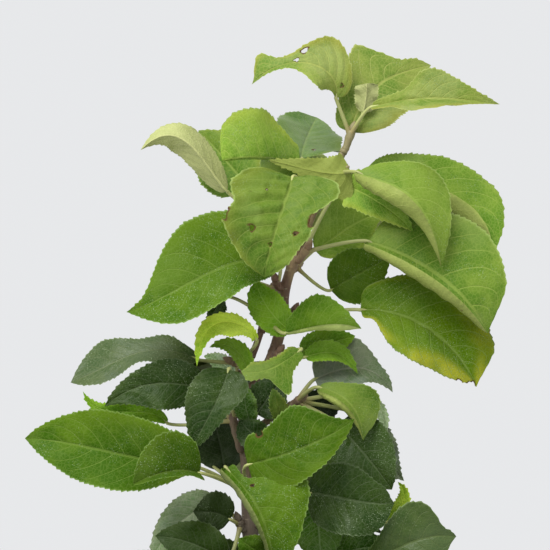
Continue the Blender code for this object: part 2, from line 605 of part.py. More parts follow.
def spur_path(mass, limbs):
    """A mass's own stem: from a limb's bark at a height, or from its tip, to the spur's head."""
    head = np.array(mass.head, float)
    path = limbs[mass.limb]
    if mass.foot == "tip":
        onward = unit(path[-1, :3] - path[-2, :3])
        foot = path[-1, :3] + onward * TOUCHING_GAP
    else:
        foot, onward = off_limb(path, mass.foot, head)
    return np.array((foot, foot + onward * SPUR_STRAIGHT, head))


def spur_root(path):
    """The point inside the spur's head that its petioles start from."""
    return path[-1] - unit(path[-1] - path[-2]) * SPUR_RADII[-1]


def grown_leaf(name, head, azimuth, chance):
    """One leaf by the rule: out from the head on its petiole, arched, its face up."""
    turn = math.radians(azimuth + chance.uniform(-GROWN_SPREAD, GROWN_SPREAD))
    rise = math.radians(chance.uniform(*GROWN_RISE))
    level = np.array((math.cos(turn), math.sin(turn), 0.0))
    out = level * math.cos(rise) + np.array((0, 0, math.sin(rise)))
    length = chance.uniform(*GROWN_LENGTH)
    width = length * chance.uniform(*GROWN_SLENDERNESS)
    sag = chance.uniform(*GROWN_SAG)
    base = head + out * chance.uniform(*GROWN_PETIOLE) + np.array((0, 0, 4.0))
    onward = unit(out * 0.7 + level * 0.3)
    places = [base + onward * length * share - np.array((0, 0, sag * share ** 2))
              for share in (0, 1 / 3, 2 / 3, 1)]
    roll = chance.uniform(-GROWN_ROLL, GROWN_ROLL)
    across = np.array((-level[1], level[0], 0.0))
    face = np.array((0, 0, 1.0)) + level * chance.uniform(0.2, 1.1) + across * roll
    fold = chance.uniform(4, 22)
    return leaf(name, *places, width, turn=(fold, fold), face=face,
                wave=chance.uniform(0.5, 2.5))


def in_crown(spec):
    """Whether a grown leaf stays in the crown's space."""
    along = np.array((0.3, 0.5, 0.5, 0.7, 1.0))
    across = np.array((0.0, -1.0, 1.0, 0.0, 0.0))
    places = blade(spec, along, across)[0]
    away = np.hypot(places[:, 0], places[:, 1])
    low, high = places[:, 2].min(), places[:, 2].max()
    return away.max() < CROWN_RADIUS and low > CROWN_FOOT and high < CROWN_TOP


def keeps_gaps(spec, crown):
    """Whether a grown leaf stays out of the sky that shows between the placed leaves."""
    along = np.tile(np.linspace(0.05, 1, 6), 3)
    across = np.repeat((-1.0, 0.0, 1.0), 6)
    places = blade(spec, along, across)[0]
    shown = places[as_seen(places)[:, 1] > SHOWN_FROM]
    return len(shown) == 0 or crown.hides(shown)


def meets_sister(spec, sisters):
    """Whether a leaf's blade comes close to another blade of its own mass."""
    along = np.tile(np.linspace(0.15, 1, 5), 3)
    across = np.repeat((-0.8, 0.0, 0.8), 5)
    places = blade(spec, along, across)[0]
    for sister in sisters:
        others = blade(sister, along, across)[0]
        apart = np.linalg.norm(places[:, None] - others, axis=-1)
        if apart.min() < SISTERS_APART:
            return True
    return False


def grow_leaves(mass, head, azimuth, crown):
    """The mass's leaves by the rule, leaving out each that would meet something."""
    chance = random.Random(f"{SEED} {mass.name}")
    sisters = list(mass.leaves)
    made = []
    for _ in range(mass.grown * GROWN_TRIES):
        if len(made) == mass.grown:
            break
        spec = grown_leaf(f"{mass.name}_{len(made)}", head, azimuth, chance)
        if not in_crown(spec) or not keeps_gaps(spec, crown):
            continue
        if meets_sister(spec, sisters):
            continue
        mesh = leaf_mesh(spec, head, PLAIN_AROUND, GROWN_STEPS)
        if crown.touched(mesh, mass.name):
            continue
        crown.add(mesh, mass.name)
        sisters.append(spec)
        made.append(mesh)
    return made


def all_masses():
    """The masses with placed leaves, those behind them and the rosettes further down."""
    masses = list(MASSES)
    for name, height, azimuth, count in BEHIND:
        turn = math.radians(azimuth)
        around = np.array((math.cos(turn), math.sin(turn), 0.35))
        foot = off_limb(trunk_path(), height, np.array((0, 0, height)) + around * 100)[0]
        masses.append(Mass(name, "trunk", height, foot + around * SPUR_LENGTH, count, ()))
    return masses


def lower_rosettes():
    """Boughs round the lower trunk, each a golden angle on from the last, and their masses."""
    boughs, masses = [], []
    for index in range(LOWER_ROSETTES):
        share = index / (LOWER_ROSETTES - 1)
        height = LOWER_FIRST + (LOWER_LAST - LOWER_FIRST) * share
        turn = math.radians(40 + GOLDEN_ANGLE * index)
        length = LOWER_BOUGH[0] + (LOWER_BOUGH[1] - LOWER_BOUGH[0]) * share
        level = np.array((math.cos(turn), math.sin(turn), 0.0))
        up = np.array((0, 0, 1.0))
        foot, outward = off_limb(trunk_path(), height, level * 100 + up * height)
        middle = foot + outward * length * 0.55 + up * length * 0.18
        tip = foot + outward * length + up * length * 0.5
        name = f"lower_bough_{index + 1}"
        boughs.append(Bough(name, height, (middle, tip), (3.4, 2.9, 2.4)))
        head = tip + unit(tip - middle) * SPUR_LENGTH
        masses.append(Mass(f"lower_leaves_{index + 1}", name, "tip", head, LOWER_LEAVES, ()))
    return boughs, masses


def join_solids(name, meshes, collection):
    """One closed body from many: a Boolean union on a collection, applied."""
    joined = add_object(name, meshes[0], collection)
    rest = bpy.data.collections.new(f"{name}_rest")
    bpy.context.scene.collection.children.link(rest)
    for mesh in meshes[1:]:
        add_object(mesh.name, mesh, rest)
    union = joined.modifiers.new("union", "BOOLEAN")
    union.operation = "UNION"
    union.operand_type = "COLLECTION"
    union.collection = rest
    union.solver = "MANIFOLD"
    evaluated = joined.evaluated_get(bpy.context.evaluated_depsgraph_get())
    whole = bpy.data.meshes.new_from_object(evaluated)
    joined.modifiers.clear()
    joined.data = whole
    for piece in list(rest.objects):
        bpy.data.objects.remove(piece)
    bpy.data.collections.remove(rest)
    keep_main_body(whole)
    whole.name = name
    return joined


def keep_main_body(mesh):
    """Fill the hollows that fusing has sealed and drop loose scraps."""
    body = bmesh.new()
    body.from_mesh(mesh)
    left = set(body.verts)
    groups = []
    while left:
        group, front = set(), [left.pop()]
        while front:
            vert = front.pop()
            group.add(vert)
            for edge in vert.link_edges:
                other = edge.other_vert(vert)
                if other in left:
                    left.remove(other)
                    front.append(other)
        groups.append(group)
    groups.sort(key=len)
    scraps = [vert for group in groups[:-1] for vert in group]
    bmesh.ops.delete(body, geom=scraps, context="VERTS")
    bmesh.ops.triangulate(body, faces=body.faces)
    body.to_mesh(mesh)
    body.free()


def turned(name, profile, collection):
    """A turned solid from a closed-up profile of radius and height."""
    body = bmesh.new()
    verts = [body.verts.new((radius * MM, 0, height * MM)) for radius, height in profile]
    for start, end in zip(verts, verts[1:]):
        body.edges.new((start, end))
    mesh = bpy.data.meshes.new(name)
    body.to_mesh(mesh)
    body.free()
    made = add_object(name, mesh, collection)
    screw = made.modifiers.new("turn", "SCREW")
    screw.steps = screw.render_steps = POT_SIDES
    screw.use_merge_vertices = True
    screw.merge_threshold = 0.00001
    return made


def outer_radius(height):
    """The pot's outer radius at a height, below its rim."""
    return POT_FOOT_RADIUS + (POT_TOP_RADIUS - POT_FOOT_RADIUS) * height / POT_HEIGHT


def make_pot(collection, plastic):
    """A tapered pot with a turned-out rim and a flat underside."""
    rim = outer_radius(POT_HEIGHT) + RIM_OVERHANG
    under_rim = POT_HEIGHT - RIM_HEIGHT
    floor = POT_WALL
    profile = (
        (0, floor),
        (outer_radius(floor) - POT_WALL, floor),
        (outer_radius(POT_HEIGHT) - POT_WALL, POT_HEIGHT - 1.5),
        (outer_radius(POT_HEIGHT) - POT_WALL + 1.5, POT_HEIGHT),
        (rim - 1.5, POT_HEIGHT),
        (rim, POT_HEIGHT - 1.5),
        (rim - 1.0, under_rim),
        (outer_radius(under_rim), under_rim),
        (outer_radius(FOOT_ROUNDING), FOOT_ROUNDING),
        (POT_FOOT_RADIUS - FOOT_ROUNDING, 0),
        (0, 0),
    )
    pot = turned("pot", profile, collection)
    pot.data.materials.append(plastic)


def make_soil(collection, earth):
    """The soil fills the pot and lies level a little below the rim."""
    bottom = POT_WALL + TOUCHING_GAP
    inset = POT_WALL + TOUCHING_GAP + 0.2
    profile = (
        (0, SOIL_LEVEL),
        (outer_radius(SOIL_LEVEL) - inset, SOIL_LEVEL),
        (outer_radius(bottom) - inset, bottom),
        (0, bottom),
    )
    soil = turned("soil", profile, collection)
    soil.data.materials.append(earth)


def make_limbs(collection, boughs, bark, crown):
    """The trunk and the boughs, each one tapering solid."""
    limbs = {"trunk": trunk_path()}
    limbs.update((bough.name, bough_path(bough)) for bough in boughs)
    for name, path in limbs.items():
        mesh = tube(path[:, :3], path[:, 3], bevel_resolution=2 if name == "trunk" else 1)
        mesh.materials.append(bark)
        mesh.shade_smooth()
        add_object(name, mesh, collection)
        crown.add(mesh, name)
    return limbs


def make_masses(masses, limbs, collection, greens, crown):
    """Every placed leaf first, then the grown ones, and a union for each mass."""
    solids = {}
    for mass in masses:
        path = spur_path(mass, limbs)
        root = spur_root(path)
        spur = tube(path, SPUR_RADII, 1)
        crown.add(spur, mass.name)
        solids[mass.name] = [spur]
        for spec in mass.leaves:
            around = ROLLED_AROUND if any(spec["curl"]) else PLAIN_AROUND
            mesh = leaf_mesh(spec, root, around, PLACED_STEPS)
            crown.add(mesh, mass.name)
            crown.add_outline(spec)
            solids[mass.name].append(mesh)
    for mass in masses:
        path = spur_path(mass, limbs)
        outward = path[-1] - np.array((0, 0, path[-1][2]))
        azimuth = math.degrees(math.atan2(outward[1], outward[0]))
        if mass.name.startswith("behind"):
            azimuth = 90.0
        solids[mass.name] += grow_leaves(mass, spur_root(path), azimuth, crown)
    for index, (name, meshes) in enumerate(solids.items()):
        joined = join_solids(name, meshes, collection)
        joined.data.materials.clear()
        joined.data.materials.append(greens[index % len(greens)])


def main():
    for thing in list(bpy.data.objects):
        bpy.data.objects.remove(thing)
    collection = bpy.data.collections.new("potted_apple_tree")
    bpy.context.scene.collection.children.link(collection)
    plastic = material("pot plastic", (0.035, 0.037, 0.04), 0.5)
    earth = material("soil", (0.05, 0.034, 0.024), 0.95)
    bark = material("bark", (0.16, 0.10, 0.075), 0.7)
    greens = (material("leaf", (0.13, 0.24, 0.035), 0.45),
              material("dark leaf", (0.06, 0.12, 0.03), 0.5))
    lower_boughs, lower_masses = lower_rosettes()
    crown = Crown()
    make_pot(collection, plastic)
    make_soil(collection, earth)
    limbs = make_limbs(collection, (*BOUGHS, *lower_boughs), bark, crown)
    make_masses(all_masses() + lower_masses, limbs, collection, greens, crown)


main()
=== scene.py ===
"""The looks of a potted apple tree, laid out as an add-on and run as a script.

The tree is a young column apple: one upright trunk, short boughs, and rosettes of
toothed leaves on spurs, in a plain nursery pot. Every surface is worked out with numpy
from the sizes below, which are in millimetres. +Y points away from the viewer, +X to
the viewer's right, and the origin is the middle of the pot's flat underside.
"""

import math
import random
from collections import namedtuple

import bpy
import numpy as np
from bpy.props import FloatProperty, FloatVectorProperty, IntProperty, PointerProperty
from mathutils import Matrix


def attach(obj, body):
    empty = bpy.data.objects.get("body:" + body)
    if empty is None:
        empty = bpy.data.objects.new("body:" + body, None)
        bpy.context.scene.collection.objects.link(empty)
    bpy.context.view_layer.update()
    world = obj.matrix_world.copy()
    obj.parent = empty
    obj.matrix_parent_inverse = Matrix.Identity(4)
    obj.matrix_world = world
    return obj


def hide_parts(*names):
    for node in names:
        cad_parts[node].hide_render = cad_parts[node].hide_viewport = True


bl_info = {
    "name": "Potted Apple Tree",
    "version": (1, 0, 0),
    "blender": (4, 5, 0),
    "location": "View3D > Sidebar > Apple Tree",
    "description": "A young column apple tree in a plain pot, leaf by leaf",
    "category": "Add Mesh",
}

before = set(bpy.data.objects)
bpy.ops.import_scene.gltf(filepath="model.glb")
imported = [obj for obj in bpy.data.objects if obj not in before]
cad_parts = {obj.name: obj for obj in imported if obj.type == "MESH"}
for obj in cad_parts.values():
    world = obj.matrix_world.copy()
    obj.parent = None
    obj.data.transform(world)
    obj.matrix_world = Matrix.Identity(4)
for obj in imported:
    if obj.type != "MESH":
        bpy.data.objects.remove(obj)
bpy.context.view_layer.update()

# A millimetre in the scene's metres, the gap between neighbouring solids, and how far out
# the points lie that only say on which side of the trunk a place is
MM = 0.001
GAP = 0.3
FAR_OUT = 100.0
UP = np.array((0.0, 0.0, 1.0))

# The pot and its soil, as in the solids
POT_HEIGHT = 200.0
POT_TOP_RADIUS = 112.0
POT_FOOT_RADIUS = 86.0
POT_WALL = 3.0
POT_FOOT_BEVEL = 2.4
POT_STEP, POT_STEP_DEPTH = (44, 46), 0.8
POT_ROUNDING = 1.5
POT_PLAIN_FLOOR = 50.0
POT_SIDES = 160
RIM_HEIGHT = 18.0
RIM_OVERHANG = 5.0
RIM_TAPER = 1.0
SOIL_LEVEL = 180.0
SOIL_SIDES = 200
SOIL_RINGS = 76

# The soil's top: how far it lies under the solid's, its lowest and its highest lumps, how
# close the waves are that they are summed from, and the sizes of small and large crumbs
SOIL_SUNK = 1.6
SOIL_LUMPS = (-1.9, 1.5)
SOIL_WAVES = (0.12, 0.2, 0.33, 0.5, 0.7, 0.95, 1.3)
SMALL_CRUMBS, LARGE_CRUMBS, SMALL_SHARE = (0.8, 2.4), (2.4, 4), 0.85
CRUMB_SIDES, CRUMB_RINGS = 6, 4

# The trunk's axis and its radius there, from the soil to the tip
TRUNK = np.array((
    (0, 0, 180.3, 11.0),
    (0, 0, 189, 8.2),
    (1, 1, 205, 7.0),
    (3, 2, 300, 6.4),
    (2, 0, 400, 5.9),
    (-2, -1, 500, 5.4),
    (-1, 0, 600, 4.8),
    (-4, 0, 660, 4.3),
    (-6, 0, 712, 3.8),
    (-3, 0, 729, 3.8),
    (7, 0, 744, 3.7),
    (13, 0, 758, 3.5),
    (17, 0, 775, 3.3),
    (18, 0, 790, 3.1),
    (22, 0, 806, 3.0),
    (28, 0, 821, 2.8),
    (38, 0, 846, 2.5),
    (48, 0, 866, 2.3),
    (55, 0, 879, 2.1),
), float)

Bough = namedtuple("Bough", "name foot points radii")
Mass = namedtuple("Mass", "name limb foot head leaves grown", defaults=({}, 0))

BOUGHS = (
    Bough("left_shoot", 716, ((-11, -2, 733), (-5, -3, 746), (0, -3, 757), (4, -3, 768)),
          (2.8, 2.7, 2.5, 2.3, 2.0)),
    Bough("right_mid_bough", 704, ((6, -6, 711), (22, -8, 722)), (2.7, 2.4, 2.1)),
    Bough("low_right_bough", 648, ((8, -6, 657), (19, -9, 663)), (3.0, 2.5, 2.2)),
    Bough("bottom_right_bough", 600, ((10, -5, 608), (29, -8, 617)), (3.2, 2.7, 2.3)),
)

# How far inside its limb a bough or spur starts, as a share of its first stretch, and
# how far the limb's bark swells there
ROOTED = 0.6
BOUGH_SWELLING = 2.2
SPUR_SWELLING = 1.4

# Trunk and boughs: rings to each stretch of their paths, sides round, the marks on their
# bark, and how far along it swells at a joint
TRUNK_RINGS, TRUNK_SIDES = 30, 40
BOUGH_RINGS, BOUGH_SIDES = 10, 22
RING_SCARS_APART, RING_SCAR_HEIGHT, RING_SCAR_WIDTH = 27.0, 0.3, 0.8
PORES_APART, PORE_HEIGHT, PORE_LENGTH, PORE_WIDTH = 7.0, 0.3, 0.7, 0.3
JOINT_REACH = 9.0

# Spurs: the solid's head, straight first stretch and length, then the shown one's radii
# along it, the height of its rings of scars, and the bud
SPUR_HEAD_RADIUS = 3.2
SPUR_STRAIGHT = 2.5
SPUR_LENGTH = 12.0
SPUR_SIDES = 14
SPUR_SHARES = (0, 0.3, 0.8, 1)
SPUR_RADII = (2.3, 2.0, 2.7, 2.2)
SPUR_RING_HEIGHT = 0.28
BUD_LENGTH = 7.5
BUD_RADIUS = 2.3
BUD_SUNK = 1.0

# Petioles: how they bend, their radii at the spur and at the blade, how far they swell
# there, their sides and rings, and how far they run on under the blade
PETIOLE_BEND = 0.18
PETIOLE_RADII = (1.45, 1.0)
PETIOLE_SWELLINGS = (0.55, 0.12)
PETIOLE_SIDES = 10
PETIOLE_SHARES = np.concatenate(((0.0, 0.03, 0.07), np.linspace(0.13, 1.0, 11)))
RIB_RUN = 0.07

# Leaf surfaces: their columns crowd at rib and margin, and their rows follow the teeth.
# Then the veins, how often a margin waves, how far a blade ripples, quilts and blisters,
# the range of its own lightness, and the rims of its holes.
SHOWN_COLUMNS = (0.035, 0.1, 0.2, 0.33, 0.47, 0.62, 0.77, 0.9, 1.0)
GROWN_COLUMNS = (0.05, 0.18, 0.4, 0.65, 0.88, 1.0)
TOOTH_PLACES = (0.0, 0.42, 0.8)
TOOTH_LENGTH = 3.1
FEWEST_TEETH = 12
LATERAL_VEINS = 8.5
VEIN_FORWARD = (0.17, 0.11)
SIDE_VEIN_HEIGHT = 0.14
WAVES = 2.2
RIPPLE = 0.35
BLISTER_QUILTING = 0.45
BUBBLES, BLISTER_BUBBLES = 0.08, 0.6
DARKEST, LIGHTNESS_RANGE = 0.93, 0.14
HOLE_UNEVENNESS, SCAR_REACH = 0.22, 1.6
CLOSEST_COLUMNS = 0.012

# The rule for the leaves that grow where none is listed
GROWN_PETIOLE = (18.0, 34.0)
GROWN_LENGTH = (68.0, 98.0)
GROWN_SLENDERNESS = (0.6, 0.72)
GROWN_RISE = (-25.0, 60.0)
GROWN_SPREAD = 110.0
GROWN_SAG = (8.0, 30.0)
GROWN_LIFT = 4.0
GROWN_LEAN = (0.2, 1.1)
GROWN_ROLL = 0.45
GROWN_FOLD = (4, 22)
GROWN_WAVE = (0.5, 2.5)
GROWN_TRIES = 200
TIP_FOUND = 0.05
SEED = 20

# Rosettes on the side away from the viewer: name, height, direction in degrees, leaves
BEHIND = (
    ("behind_top_leaves", 842, 80, 5),
    ("behind_high_leaves", 790, 110, 5),
    ("behind_middle_leaves", 745, 70, 6),
    ("behind_low_leaves", 690, 72, 7),
    ("behind_bottom_leaves", 645, 60, 7),
)
BEHIND_RISE = 0.35
BEHIND_FACING = 90.0

# Boughs with a rosette each, from the lowest to the highest, below the photograph's edge
LOWER_ROSETTES = 11
LOWER_HEIGHTS = (345.0, 590.0)
LOWER_LENGTHS = (44.0, 20.0)
LOWER_RADII = (3.4, 2.9, 2.4)
LOWER_LEAVES = 6
LOWER_START = 40.0
GOLDEN_ANGLE = 137.5


def leaf(base, lower, upper, tip, width, tone="mid", turn=(10, 10), curl=(0, 0), wave=1.5,
         widest=0.42, point=1.9, face=(0, -1, 0), underside=False, flat=(0, 0),
         left=(1, 1), right=(1, 1), blister=0.0, light=(1, 1), specks=(0, 0), holes=()):
    """The sizes of one leaf.

    Its midrib runs through base, lower, upper and tip. turn is how far its left and its
    right half lean out of the plane across face, and curl how much further they roll
    towards their edges, in degrees, past the share of each half that flat keeps flat.
    wave is the height of the margin's waves, widest the place along the midrib of the
    full width, and point how blunt the tip is. face is the way its upper side looks, or
    its underside where that is what shows. left and right are factors on the width of
    each half, at even steps from base to tip. blister is how far it bulges between its
    veins, light how light its upper side and its underside are beside its kind's, and
    specks how much more of each half is flecked with dried water, up to 1. light is
    partly the leaf's own tone and partly painted light and shade: it lifts leaves that
    lie in the crown's shadow and lowers others, to stand in for how lit each one is.
    Each of the holes is a place along the midrib, a place across from -1 to 1, and a
    radius.
    """
    shown = [-value for value in face] if underside else list(face)
    return {"midrib": np.array((base, lower, upper, tip), float), "width": width,
            "tone": tone, "turn": turn, "curl": curl, "wave": wave, "widest": widest,
            "point": point, "face": np.array(shown, float), "flat": flat,
            "factors": (left, right), "blister": blister, "light": light,
            "specks": specks, "holes": holes}


# The masses whose leaves the photograph shows one by one
MASSES = (
    Mass("tip_leaves", "trunk", foot="tip", head=(60, 0, 892), leaves=dict(
        top_left=leaf((50, -4, 912), (44, -10, 928), (23, -14, 933), (-2, -8, 920), width=41,
            tone="young", turn=(50, -25), widest=0.3, point=1.2,
            left=(0.2, 0.35, 0.6, 0.85, 1.05, 1.1, 0.8, 0.5, 0.5, 0.5, 1),
            right=(0.6, 0.65, 0.75, 1, 1.25, 1.1, 0.8, 0.55, 1.2, 4, 1), light=(1.05, 1),
            blister=0.1, holes=((0.57, 0.68, 1.7), (0.63, 0.22, 1.2), (0.12, 0.35, 1.1))),
        top_back=leaf((59, 4, 891), (69, 10, 913), (86, 20, 927), (111, 30, 935), width=50,
            tone="young", turn=(-10, 15), wave=3, widest=0.5,
            left=(1, 0.75, 0.65, 0.75, 0.88, 1.05, 1.22, 0.85, 0.55, 0.8, 1),
            right=(1.1, 1.25, 1.15, 1.05, 1, 1, 1, 1, 1, 1.2, 1), light=(0.92, 1), blister=0.15),
        top_right=leaf((72, -12, 906), (96, -22, 910), (120, -26, 910), (150, -20, 907), width=38,
            tone="young", turn=(-5, 75), widest=0.4,
            left=(0.4, 0.3, 0.3, 0.4, 0.8, 1, 1, 0.95, 0.9, 0.85, 1),
            right=(1, 0.8, 0.8, 1.2, 1.8, 1.8, 1.6, 1.4, 1.2, 1, 1), blister=0.2),
        top_bud=leaf((67, -1, 903), (68, -2, 908), (69, -3, 915), (69, -4, 921), width=15,
            tone="pale", turn=(20, 20), widest=0.8, point=4, underside=True, light=(1, 0.88)),
    )),
    Mass("upper_left_leaves", "trunk", foot=849, head=(35, -8, 853), leaves=dict(
        upper_left_front=leaf((28, 2, 874), (13, -9, 874), (-3, -24, 874), (-20, -30, 872),
            width=62, tone="mid", turn=(-80, 5), widest=0.62, point=7,
            left=(1, 0.15, 0.12, 0.12, 0.12, 0.12, 0.12, 0.12, 0.12, 0.15, 0.3),
            right=(0.9, 0.61, 0.66, 0.75, 0.86, 0.95, 0.97, 0.97, 0.96, 0.96, 1.3),
            light=(1.45, 1), specks=(0.4, 0.2), blister=0.3),
        front_holed=leaf((23, -30, 862), (18, -46, 845), (11, -54, 823), (6, -48, 801), width=62,
            tone="mid", turn=(22, 10), wave=3, widest=0.35, point=2.4,
            left=(1, 1.25, 1.1, 0.85, 0.65, 0.75, 0.75, 0.75, 0.85, 0.9, 1),
            right=(1, 1, 1.05, 1.15, 1.05, 1, 1.25, 1.25, 1.25, 1.3, 1), light=(0.76, 1),
            blister=0.9,
            holes=((0.27, 0.38, 0.9), (0.62, 0.43, 1.6), (0.57, -0.6, 1.2), (0.7, 0.03, 1.1),
                   (0.59, 1.0, 2.6), (0.46, -1.0, 2.8), (0.35, 0.65, 0.7))),
    )),
    Mass("upper_front_leaves", "trunk", foot=866, head=(54, -8, 867), leaves=dict(
        upper_pale=leaf((59, -12, 866), (45, -14, 865), (29, -16, 868), (8, -20, 873), width=26,
            tone="young", turn=(5, -5), widest=0.3, underside=True,
            left=(1.2, 1.2, 0.9, 0.8, 0.7, 0.7, 0.7, 0.7, 0.7, 0.7, 1),
            right=(2.2, 1.7, 1.2, 0.9, 0.7, 0.6, 0.55, 0.5, 0.5, 0.6, 1), light=(1, 0.9)),
        right_front=leaf((63, -26, 865), (81, -38, 858), (100, -46, 843), (113, -40, 807),
            width=55, tone="mid", turn=(-32, 30), curl=(0, 170), widest=0.5, flat=(0, 0.3),
            left=(0.5, 0.6, 0.65, 0.75, 0.85, 0.95, 1, 1.05, 1.05, 1.1, 1),
            right=(1, 0.9, 0.95, 1, 1.05, 1.1, 1.1, 1.05, 1, 1, 1), light=(0.98, 1), blister=0.15),
    )),
    Mass("upper_back_leaves", "trunk", foot=864, head=(54, 9, 868), grown=1, leaves=dict(
        upper_back=leaf((29, 4, 875), (31, 22, 885), (35, 42, 895), (39, 60, 904), width=43,
            tone="sheen", widest=0.5, point=2.4, right=(1, 1.3, 1.3, 1.2, 1.1, 1, 1, 1, 1, 1, 1),
            light=(1.1, 1), blister=0.1, holes=((0.2, 0.3, 1.2),)),
        right_back=leaf((67, 22, 865), (92, 20, 860), (126, 17, 848), (149, 8, 816), width=60,
            tone="mid", turn=(-20, 12), curl=(0, 200), widest=0.5, flat=(0, 0.1),
            left=(0.5, 0.64, 0.7, 0.72, 0.74, 0.81, 0.88, 1.01, 1.29, 1.39, 1.25),
            right=(1, 1, 0.9, 0.8, 0.8, 0.85, 0.95, 1.15, 1.5, 1.8, 1), light=(1.6, 1.2),
            blister=0.25),
    )),
    Mass("far_left_leaves", "trunk", foot=828, head=(25, 4, 833), leaves=dict(
        far_left_pale=leaf((-17, -5, 854), (-30, -12, 871), (-47, -18, 887), (-70, -18, 879),
            width=29, tone="pale", turn=(50, 50), widest=0.58, underside=True, light=(1, 1.1)),
        far_left_back=leaf((-3, 10, 857), (-13, 20, 868), (-24, 27, 881), (-36, 32, 894), width=43,
            tone="mid", light=(0.9, 1)),
    )),
    Mass("right_pair_leaves", "trunk", foot=813, head=(32, -8, 819), leaves=dict(
        right_big=leaf((70, -16, 823), (92, -28, 814), (119, -36, 796), (142, -28, 767), width=82,
            tone="mid", turn=(-20, 30), curl=(0, 160), wave=2, widest=0.5, point=2.6,
            flat=(0, 0.35), left=(1, 0.8, 0.85, 0.9, 0.95, 1, 1.05, 1.1, 1.2, 1.4, 1),
            right=(1, 0.6, 0.55, 0.55, 0.57, 0.6, 0.6, 0.6, 0.6, 0.7, 1), light=(1.05, 0.95),
            blister=0.25),
        right_middle=leaf((57, -9, 857), (68, -14, 852), (83, -19, 842), (97, -22, 829), width=22,
            tone="mid", widest=0.35, left=(1.5, 1.5, 1.2, 1.1, 1, 1, 1, 1, 1, 1, 1),
            right=(1.5, 1.5, 1.2, 1, 1, 1, 1, 1, 1, 1, 1), light=(1.5, 1)),
    )),
    Mass("behind_upper_leaves", "trunk", foot=806, head=(27, 12, 809), grown=3, leaves=dict(
        back_centre=leaf((37, 8, 818), (51, 13, 827), (65, 17, 836), (81, 20, 841), width=40,
            tone="mid", left=(0.7, 0.7, 0.75, 0.9, 1, 1.1, 1.1, 1.1, 1, 1, 1),
            right=(0.7, 0.7, 0.7, 0.75, 0.8, 0.8, 0.9, 1, 1, 1, 1), light=(1.4, 1)),
        dark_round=leaf((47, 5, 793), (59, 9, 800), (72, 12, 807), (85, 14, 814), width=35,
            tone="bright", light=(0.67, 1), blister=0.3),
    )),
    Mass("left_big_leaves", "trunk", foot=794, head=(13, -5, 799), leaves=dict(
        left_big=leaf((15, -10, 809), (-14, -24, 809), (-46, -34, 794), (-78, -30, 780), width=74,
            tone="bright", turn=(52, -15), wave=2, widest=0.45, point=1.4,
            left=(0.5, 0.6, 0.65, 0.68, 0.72, 0.85, 1.05, 1.35, 1.55, 1.3, 1),
            right=(1, 1, 1, 1, 0.98, 0.97, 0.95, 0.9, 0.75, 0.5, 0.5), light=(0.85, 1),
            specks=(0.9, 0.2), blister=0.3),
    )),
    Mass("right_low_leaves", "trunk", foot=778, head=(24, -3, 780), leaves=dict(
        right_low=leaf((65, -12, 781), (92, -16, 777), (117, -20, 761), (136, -18, 734), width=67,
            tone="yellowing", turn=(-15, 45), wave=3, widest=0.45, point=2.2,
            left=(1, 0.8, 0.8, 0.88, 0.92, 0.95, 1, 1.1, 1.3, 1.7, 1),
            right=(0.6, 0.35, 0.6, 0.8, 0.88, 0.92, 0.97, 1, 1.1, 1.2, 1), light=(1.65, 1),
            specks=(0.3, 0.4), blister=0.35, holes=((0.97, 1.0, 2.4), (0.9, 0.98, 1.5))),
    )),
    Mass("shoot_leaves", "left_shoot", foot="tip", head=(10, -6, 778), leaves=dict(
        middle_left=leaf((22, -14, 768), (13, -16, 776), (5, -14, 787), (1, -8, 799), width=22,
            tone="bright", widest=0.5, point=2.4, light=(2, 1), specks=(0.4, 0.4)),
        middle_right=leaf((19, -26, 767), (32, -30, 770), (47, -34, 772), (65, -32, 770), width=38,
            tone="bright", turn=(-10, 20), curl=(0, 150),
            left=(1, 0.7, 0.75, 0.85, 0.95, 1.05, 1.1, 1.1, 1.1, 1, 1),
            right=(0.6, 0.4, 0.4, 0.4, 0.4, 0.5, 0.7, 1, 1.3, 1.3, 1), light=(1, 1.6)),
        left_hidden=leaf((-19, 14, 788), (-23, 17, 784), (-26, 19, 779), (-31, 21, 772), width=12,
            tone="dark"),
    )),
    Mass("centre_leaves", "trunk", foot=751, head=(15, -9, 755), leaves=dict(
        centre_light=leaf((28, -36, 757), (17, -48, 750), (5, -56, 745), (-8, -58, 745), width=38,
            tone="mid", turn=(10, -20), wave=1, widest=0.3,
            left=(0.5, 0.35, 0.35, 0.45, 0.75, 1.1, 0.45, 0.35, 0.55, 1, 1),
            right=(0.5, 0.4, 0.3, 0.25, 0.3, 0.3, 0.4, 0.5, 0.8, 1, 1), light=(0.77, 1)),
        mid_right_fold=leaf((31, -16, 752), (42, -18, 755), (53, -19, 753), (63, -20, 742),
            width=15, tone="bright", turn=(10, 50), light=(1.5, 1)),
        mid_right_back=leaf((28, -10, 755), (39, -10, 759), (51, -9, 762), (62, -6, 765), width=19,
            tone="bright", light=(1.5, 1)),
    )),
    Mass("left_upper_leaves", "left_shoot", foot=745, head=(-14, -3, 749), leaves=dict(
        pale_young=leaf((1, -18, 763), (-8, -26, 772), (-25, -32, 772), (-35, -34, 747), width=21,
            tone="lime", turn=(30, -20), left=(1, 0.5, 0.5, 0.6, 0.8, 1, 1, 1, 1, 1, 1),
            right=(0.4, 0.25, 0.3, 0.4, 0.5, 0.55, 0.65, 0.8, 0.9, 1, 1), light=(1.65, 1)),
        below_young=leaf((-5, -15, 742), (-8, -16, 752), (-16, -16, 759), (-28, -15, 758),
            width=16, tone="bright", left=(0.6, 0.6, 0.6, 0.6, 0.6, 0.6),
            right=(0.8, 0.8, 0.8, 0.8, 0.8, 0.8), light=(1.45, 1)),
        left_grey=leaf((-35, -2, 750), (-64, -6, 756), (-88, -6, 748), (-114, -4, 736), width=26,
            tone="grey", turn=(45, -40), wave=2, widest=0.5, point=3.2,
            left=(1, 1.15, 1.1, 0.9, 0.62, 0.6, 0.82, 1, 1.15, 1.2, 1.5),
            right=(1, 0.92, 1.1, 0.89, 0.8, 1.05, 1.4, 1.65, 1.75, 1.9, 2), light=(0.7, 1),
            specks=(0.4, 0.3)),
